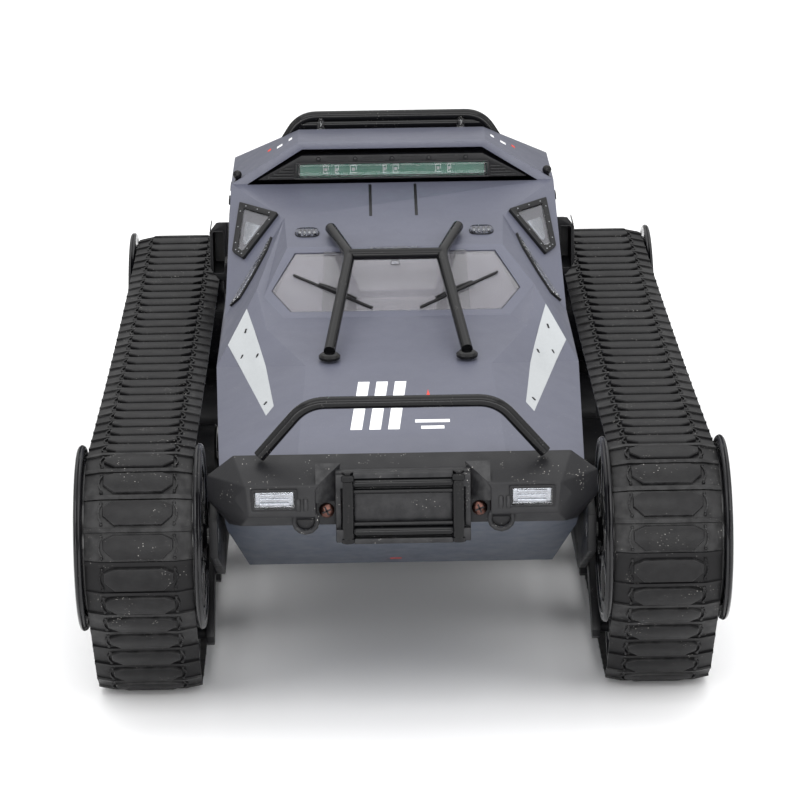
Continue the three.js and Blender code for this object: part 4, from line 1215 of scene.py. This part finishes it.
def make_bonnet_marks():
    """Plain printed marks on the bonnet: three slanted stripes, two lines and a small triangle."""
    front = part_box("bull_bar")[1].y + 26 * MM
    back = GUARD_LOW.y - 15 * MM
    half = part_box("bull_bar")[1].x
    # Each mark as (left, right, lower, upper, slant) in fractions of the printed area.
    marks = ((-0.35, -0.27, 0.0, 1.0, 0.06), (-0.22, -0.14, 0.0, 1.0, 0.06), (-0.09, -0.01, 0.0, 1.0, 0.06),
             (0.10, 0.34, 0.13, 0.19, 0.0), (0.14, 0.30, 0.0, 0.06, 0.0))
    for k, (x0, x1, y0, y1, slant) in enumerate(marks):
        points = [Vector((half * x, front + (back - front) * y, BONNET_BEND.z)) for x, y in
                  ((x0, y0), (x1, y0), (x1 + slant, y1), (x0 + slant, y1))]
        keep(draped(f"bonnet_mark_{k + 1}", points, "body_shell", (0, 0, -1), 0.02 * MM, 0.12 * MM, 2),
             "white")
    points = [Vector((half * x, front + (back - front) * y, BONNET_BEND.z)) for x, y in
              ((0.17, 0.52), (0.23, 0.52), (0.20, 0.82))]
    keep(draped("bonnet_triangle", points, "body_shell", (0, 0, -1), 0.02 * MM, 0.12 * MM, 1), "red_print")


# ------------------------------------------------------------------ bumper, guards and rack


def make_bumper():
    copied("front_bumper", "bumper", 0.9 * MM, 14, 3)
    fair_low, fair_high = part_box("winch_fairlead")
    bumper_low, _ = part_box("front_bumper")
    screws = []
    for side, sign in SIDES:
        low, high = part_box(f"front_lamp_{side}")
        make_box_lamp(f"front_lamp_{side}", low, high, -1, "clear")
        # Tow point between lamp and fairlead: an open loop below two upright lugs.
        inner_x = min(abs(low.x), abs(high.x))
        x = sign * (inner_x - 3.6 * MM)
        face = bumper_low.y + 1.2 * MM
        made = bmesh.new()
        middle = Vector((x, face, low.z - 4.6 * MM))
        loop = [middle + 4.2 * MM * Vector((math.cos(a), 0, math.sin(a)))
                for a in [math.radians(130 + 28 * k) for k in range(11)]]
        hook = round_tube("hook", loop, 0.85 * MM, 0.1 * MM)
        pit = plate([circle((0, 0), 3.5 * MM)], 0.6 * MM, 0.1 * MM,
                    facing(middle + Vector((0, 1.2 * MM, 0)), (0, -1, 0)))
        joined(f"tow_pit_{side}", [pit], "black", slot="bumper_plastic")
        for step in (-1.3 * MM, 1.3 * MM):
            spot = Matrix.Translation((x + sign * 1.2 * MM + step, face - 0.4 * MM, low.z - 0.8 * MM))
            lathe(made, mm_pairs((0, 0), (0, 0.75), (0.4, 1.0), (4.0, 1.0), (4.6, 0.6), (4.6, 0)), 14, spot)
        joined(f"tow_loop_{side}", [hook, from_bmesh("lugs", made)], "bumper")
        spot, normal = cast("front_bumper", (sign * (fair_high.x + 3.2 * MM), fair_low.y - 30 * MM,
                                             (fair_low.z + fair_high.z) / 2 - 2 * MM), (0, 1, 0))
        screws.append(facing(spot, normal))
        # Slanting facet from the bumper's face down into the recess.
        edge = fair_high.x + 7 * MM
        near = bumper_low.y + 1.5 * MM
        far = bumper_low.y + 7.2 * MM
        top, mid, foot = fair_high.z + 2 * MM, fair_high.z - 5 * MM, fair_high.z - 11 * MM
        made = bmesh.new()
        spots = [made.verts.new((sign * x, y, z)) for x, y, z in (
            (edge, near, mid), (edge, near, foot), (fair_high.x * 0.92, far, top),
            (fair_high.x, far, foot - 1 * MM),
            (edge, far, top), (edge, far, foot))]
        bmesh.ops.convex_hull(made, input=spots)
        built(f"bumper_facet_{side}", made, "bumper", angle=10)
    cross_screws("bumper_screws", screws, 2.75 * MM, ROOT, "bumper_plastic", "copper")


def make_box_lamp(node, low, high, front, look):
    """A clear block lens with a bright edge frame and level ribs inside; front is -1 or 1 along Y."""
    made = bmesh.new()
    soft_block(made, low, high, 0.5 * MM)
    built(f"{node}_lens", made, look, replaces=(node,))
    face = low.y if front < 0 else high.y
    back = high.y if front < 0 else low.y
    made = bmesh.new()
    depth = back - face
    soft_block(made, (low.x + 0.7 * MM, back - depth * 0.18, low.z + 0.7 * MM),
               (high.x - 0.7 * MM, back - depth * 0.05, high.z - 0.7 * MM), 0.1 * MM)
    for k in range(3):
        z = low.z + (high.z - low.z) * (k + 1) / 4
        soft_block(made, (low.x + 2.2 * MM, back - depth * 0.15, z - 0.45 * MM),
                   (high.x - 2.2 * MM, back - depth * 0.60, z + 0.45 * MM), 0.15 * MM)
    built(f"{node}_reflector", made, "reflector", slot=SLOTS[look])
    wide, tall = high.x - low.x, high.z - low.z
    middle = (low + high) / 2
    rim = plate([rounded(rectangle(wide + 1.6 * MM, tall + 1.6 * MM), 1 * MM),
                 rectangle(wide - 0.5 * MM, tall - 0.5 * MM)],
                0.5 * MM, 0.18 * MM, facing((middle.x, face + 0.25 * MM * -front, middle.z), (0, front, 0)))
    joined(f"{node}_rim", [rim], "black", slot=SLOTS[look])


def make_fairlead():
    """Roller fairlead: a flat plate, upright rollers with cap bolts, and level rollers between them."""
    low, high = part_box("winch_fairlead")
    made = bmesh.new()
    back = high.y
    wide = high.x
    plate_thick = 3.2 * MM
    front = back - plate_thick
    soft_block(made, (-wide, front, low.z), (wide, back, high.z), 0.7 * MM)
    roller_r = 3.0 * MM
    roller_x = wide * 0.82
    roller_y = low.y + roller_r
    reach = roller_x - roller_r * 0.7
    for z in (high.z - 1.1 * MM, low.z + 1.1 * MM):
        soft_block(made, (-reach, front - 2.4 * MM, z - 1.0 * MM), (reach, front + 0.4 * MM, z + 1.0 * MM),
                   0.3 * MM)
    for z in (low.z + 3.2 * MM, high.z - 3.2 * MM):
        for x in (-wide * 0.92, wide * 0.92):
            soft_block(made, (x - 1.8 * MM, front - 2.6 * MM, z - 2.4 * MM),
                       (x + 1.8 * MM, front + 0.5 * MM, z + 2.4 * MM), 0.4 * MM)
    plate_piece = from_bmesh("fairlead_plate", made)
    made = bmesh.new()
    for sign in (-1, 1):
        spot = Matrix.Translation((sign * roller_x, roller_y, 0))
        bottom, top = low.z + 0.4 * MM, high.z - 0.9 * MM
        waist_r = roller_r * 0.86
        lathe(made, ((bottom, 0), (bottom, roller_r * 0.85), (bottom + 1.6 * MM, roller_r),
                     (bottom + 2.0 * MM, waist_r), (top - 2.4 * MM, waist_r), (top - 2.0 * MM, roller_r),
                     (top - 0.4 * MM, roller_r), (top, roller_r * 0.85), (top, 0)), 32, spot)
        seat, bolt_r = top - 0.1 * MM, 1.9 * MM
        lathe(made, ((seat, 0), (seat, bolt_r), (high.z - 0.2 * MM, bolt_r),
                     (high.z, 1.6 * MM), (high.z, 0)), 6, spot)
    chamfer = 0.7 * MM
    for z, r in ((high.z - 4.0 * MM, 1.7 * MM), (high.z - 7.2 * MM, 0.9 * MM),
                 (low.z + 4.5 * MM, 1.7 * MM), (low.z + 7.3 * MM, 0.9 * MM)):
        bar = across(0, front - 1.2 * MM, z)
        lathe(made, ((-reach, 0), (-reach, r * 0.8), (chamfer - reach, r), (reach - chamfer, r),
                     (reach, r * 0.8), (reach, 0)), 24, bar)
    rollers = from_bmesh("fairlead_rollers", made)
    keep(rollers, "tube", slot="bumper_plastic")
    keep(plate_piece, "bumper", replaces=("winch_fairlead",))


def make_tubes():
    """Bull bar, bonnet guard and roof rack as bent round tubes."""
    low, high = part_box("bull_bar")
    r = (high.y - low.y) / 2
    y = (low.y + high.y) / 2
    foot_x, foot_z = high.x - r * 0.75, low.z + r * 0.66
    bend_x = foot_x * 2 / 3
    top = high.z - r
    bar = round_tube("bar", [(-foot_x, y, foot_z), (-bend_x, y, top), (bend_x, y, top), (foot_x, y, foot_z)],
                     r, 7 * MM)
    joined("bull_bar_tube", [bar], "tube", replaces=("bull_bar",))

    low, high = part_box("hood_guard")
    pieces = []
    for sign in (-1, 1):
        foot = Vector((sign * (high.x - 4.2 * MM), low.y + 4.7 * MM, low.z + 2.6 * MM))
        elbow = Vector((sign * high.x * 0.59, part_way(low.y, high.y, 0.636), part_way(low.z, high.z, 0.83)))
        end = Vector((sign * high.x * 0.838, high.y - r * 0.5, high.z - r))
        pieces.append(round_tube("leg", [foot, elbow, end], r, 5 * MM))
        made = bmesh.new()
        cap = facing(end, end - elbow)
        lathe(made, ((-0.4 * MM, r * 1.0), (0, r * 0.98), (r * 0.2, r * 0.80), (r * 0.3, r * 0.4),
                     (r * 0.3, 0)), 24, cap)
        pieces.append(from_bmesh("cap", made))
        _, normal = nearest("body_shell", foot)
        pad = facing((foot.x, low.y + 4.2 * MM, low.z + 0.2 * MM), normal)
        made = bmesh.new()
        lathe(made, mm_pairs((0, 0), (0, 4.1), (0.9, 4.1), (1.5, 3.4), (1.9, 2.8), (1.9, 0)), 28, pad)
        pieces.append(from_bmesh("foot", made))
    pieces.append(round_tube("cross", [(-elbow.x, elbow.y, elbow.z), elbow], r, 0))
    joined("hood_guard_tube", pieces, "tube", replaces=("hood_guard",))

    low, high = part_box("roof_rack")
    y = low.y + r
    foot_x, foot_z = high.x - r * 0.6, low.z + r * 0.85
    bend_x = foot_x * 0.776
    top = high.z - r
    stay_x = foot_x * 0.612
    pieces = [round_tube("hoop", [(-foot_x, y, foot_z), (-bend_x, y, top), (bend_x, y, top),
                                  (foot_x, y, foot_z)], r, 7 * MM)]
    bar_z = top - 3.4 * MM
    bar_x, bar_y = foot_x * 0.83, y + 0.4 * MM
    pieces.append(round_tube("bar", [(-bar_x, bar_y, bar_z), (bar_x, bar_y, bar_z)], 2.2 * MM, 0))
    for sign in (-1, 1):
        x = sign * stay_x
        foot, _ = cast_down("body_shell", x, high.y - 1 * MM)
        pieces.append(round_tube("stay", [(x, y, top - 1 * MM), (x, y + 17.5 * MM, top - 9.2 * MM),
                                          (x, foot.y, foot.z + 3.5 * MM)], r, 5 * MM))
    joined("roof_rack_tube", pieces, "tube", replaces=("roof_rack",))
    for side, sign in SIDES:
        made = bmesh.new()
        spot = Matrix.Translation((sign * stay_x * 0.98, y - r - 0.6 * MM, bar_z - 1.6 * MM))
        lathe(made, mm_pairs((0, 0), (0, 1.5), (3.4, 1.5), (4.6, 1.0), (5.2, 0)), 20, spot)
        built(f"rack_lamp_{side}", made, "clear")


# ------------------------------------------------------------------ sides, rear and inside


def make_intakes():
    for side, sign in SIDES:
        node = f"side_intake_{side}"
        copied(node, "black", 0.6 * MM)
        low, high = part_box(node)
        inner, outer = sorted((abs(low.x), abs(high.x)))
        made = bmesh.new()
        wide, tall = 5.6 * MM, 19 * MM
        place = facing((sign * (inner + outer) / 2, low.y, low.z + tall * 0.63), (0, -1, 0))
        ring = plate([rounded(rectangle(wide, tall), 1.2 * MM),
                      rounded(rectangle(wide - 1 * MM, tall - 1 * MM), 0.9 * MM)],
                     0.5 * MM, 0.15 * MM, place)
        for k in range(5):
            z = low.z + 5 * MM + tall * 0.8 * k / 4
            soft_block(made, (sign * (outer - 0.4 * MM), low.y + 4 * MM, z),
                       (sign * outer, low.y + 22 * MM, z + 1 * MM), 0.1 * MM)
        joined(f"intake_lip_{side}", [ring, from_bmesh("ribs", made)], "wheel", slot="black_moulding")


def make_rear():
    copied("rear_bumper", "bumper", 0.8 * MM)
    for side, _ in SIDES:
        low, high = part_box(f"rear_lamp_{side}")
        make_box_lamp(f"rear_lamp_{side}", low, high, 1, "red_lens")
    copied("engine_cover", "black", 0.35 * MM)
    low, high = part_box("engine_cover")
    places = []
    for x in (low.x + 2.6 * MM, high.x - 2.6 * MM):
        for part in (0.08, 0.92):
            spot, normal = cast_down("engine_cover", x, part_way(low.y, high.y, part))
            places.append(facing(spot, normal, (0, 1, 0)))
    low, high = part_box("rear_bumper")
    for x in (-0.35, 0.35):
        spot, normal = cast("rear_bumper", (high.x * x, (low.y + high.y) / 2, high.z + 20 * MM), (0, 0, -1))
        places.append(facing(spot, normal, (0, 1, 0)))
    cross_screws("rear_screws", places, 2.0 * MM, ROOT)


def make_inside():
    """Battery with its plug block, and the control board with its parts."""
    copied("battery", "battery", 0.9 * MM)
    low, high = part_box("battery")
    made = bmesh.new()
    soft_block(made, (-8 * MM, high.y + 0.1 * MM, high.z - 9 * MM),
               (8 * MM, high.y + 7 * MM, high.z - 2 * MM), 0.6 * MM)
    for y in (0.2, 0.5, 0.8):
        at = part_way(low.y, high.y, y)
        soft_block(made, (low.x - 0.4 * MM, at - 3 * MM, high.z - 0.2 * MM),
                   (high.x + 0.4 * MM, at + 3 * MM, high.z + 0.5 * MM), 0.2 * MM)
    built("battery_plug_and_straps", made, "black")
    low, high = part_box("control_board")
    made = bmesh.new()
    soft_block(made, low, high, 0.2 * MM)
    built("control_circuit", made, "board", replaces=("control_board",))
    chips = bmesh.new()
    cans = bmesh.new()
    for x, y, wide, deep, tall in ((-0.5, 0.3, 14, 14, 2), (0.35, 0.25, 10, 8, 2), (0.3, 0.75, 16, 9, 6),
                                   (-0.5, 0.8, 12, 7, 9), (0.0, 0.52, 6, 6, 1.6)):
        cx, cy = high.x * x, part_way(low.y, high.y, y)
        half_wide, half_deep = wide * MM / 2, deep * MM / 2
        soft_block(chips, (cx - half_wide, cy - half_deep, high.z),
                   (cx + half_wide, cy + half_deep, high.z + tall * MM), 0.3 * MM)
    for x in (-0.05, 0.75):
        spot = Matrix.Translation((high.x * x, part_way(low.y, high.y, 0.86), high.z))
        lathe(cans, mm_pairs((0, 0), (0, 3.2), (8, 3.2), (8.6, 2.7), (8.4, 0)), 24, spot)
    built("control_chips", chips, "black", slot="circuit_board")
    built("control_capacitors", cans, "steel", slot="circuit_board")


# ------------------------------------------------------------------ floor, light and camera


def make_stage():
    made = bmesh.new()
    floor_size = 12.0  # metres
    made.faces.new([made.verts.new((x, y, 0)) for x, y in rectangle(floor_size, floor_size)])
    floor = from_bmesh("floor", made)
    look = Finish("floor_look", 0.55)
    look.colour(look.ramp(look.noise(3, 2), (0.3, (0.90, 0.90, 0.905)), (0.7, (0.93, 0.93, 0.935))))
    floor.data.materials.append(look.material)


def make_lights():
    # Name, place, target, width and height, all in metres, and the power in watts.
    for name, place, target, size, power in (
            ("softbox_top", (0.0, 0.25, 1.7), (0, 0.0, 0.05), (2.2, 1.8), 14),
            ("softbox_left", (-1.9, -0.9, 1.1), (0, -0.05, 0.08), (2.4, 1.6), 10),
            ("softbox_right", (1.9, -0.9, 1.1), (0, -0.05, 0.08), (2.4, 1.6), 14),
            ("softbox_front", (0.0, -1.7, 2.0), (0, -0.35, 0.0), (2.4, 1.2), 30),
            ("softbox_low", (0.0, -2.4, 0.5), (0, -0.2, 0.02), (2.6, 0.7), 30)):
        light = bpy.data.lights.new(name, "AREA")
        light.shape = "RECTANGLE"
        light.size, light.size_y = size
        light.energy = power
        linked(name, light).matrix_world = facing(place, Vector(place) - Vector(target))
    world = bpy.data.worlds.new("studio")
    world.use_nodes = True
    # A white room, bright overhead and dim level with the floor.
    tree = world.node_tree
    direction = tree.nodes.new("ShaderNodeTexCoord").outputs["Generated"]
    split = tree.nodes.new("ShaderNodeSeparateXYZ")
    tree.links.new(direction, split.inputs[0])
    fade = tree.nodes.new("ShaderNodeValToRGB")
    fade.color_ramp.elements[0].position = 0.05
    fade.color_ramp.elements[0].color = (0.20, 0.20, 0.20, 1)
    fade.color_ramp.elements[1].position = 0.60
    tree.links.new(split.outputs["Z"], fade.inputs["Fac"])
    tree.links.new(fade.outputs["Color"], tree.nodes["Background"].inputs["Color"])
    tree.nodes["Background"].inputs["Strength"].default_value = 1.05
    bpy.context.scene.world = world
    bpy.context.scene.view_settings.view_transform = "Standard"


def make_camera():
    """A view of the front from slightly above, with a long lens."""
    camera = bpy.data.cameras.new("camera")
    camera.sensor_width = 36
    camera.lens = 166.05
    obj = linked("camera", camera)
    pitch, yaw, roll = math.radians(15.40), math.radians(0.611), math.radians(-0.813)
    forward = Vector((math.sin(yaw) * math.cos(pitch), math.cos(yaw) * math.cos(pitch), -math.sin(pitch)))
    right = Vector((math.cos(yaw), -math.sin(yaw), 0))
    up = right.cross(forward)
    level_right = right * math.cos(roll) + up * math.sin(roll)
    level_up = -right * math.sin(roll) + up * math.cos(roll)
    matrix = Matrix((level_right, level_up, -forward)).transposed().to_4x4()
    matrix.translation = Vector((-14.0, -1464.1, 472.4)) * MM
    obj.matrix_world = matrix
    bpy.context.scene.camera = obj


for make in (make_belts, make_end_wheels, make_road_wheels, make_drive, make_body, make_doors,
             make_quarter_windows, make_screen, make_cowl_details, make_light_bar, make_badges,
             make_bonnet_marks, make_bumper, make_fairlead, make_tubes, make_intakes, make_rear,
             make_inside, make_stage, make_lights, make_camera):
    make()
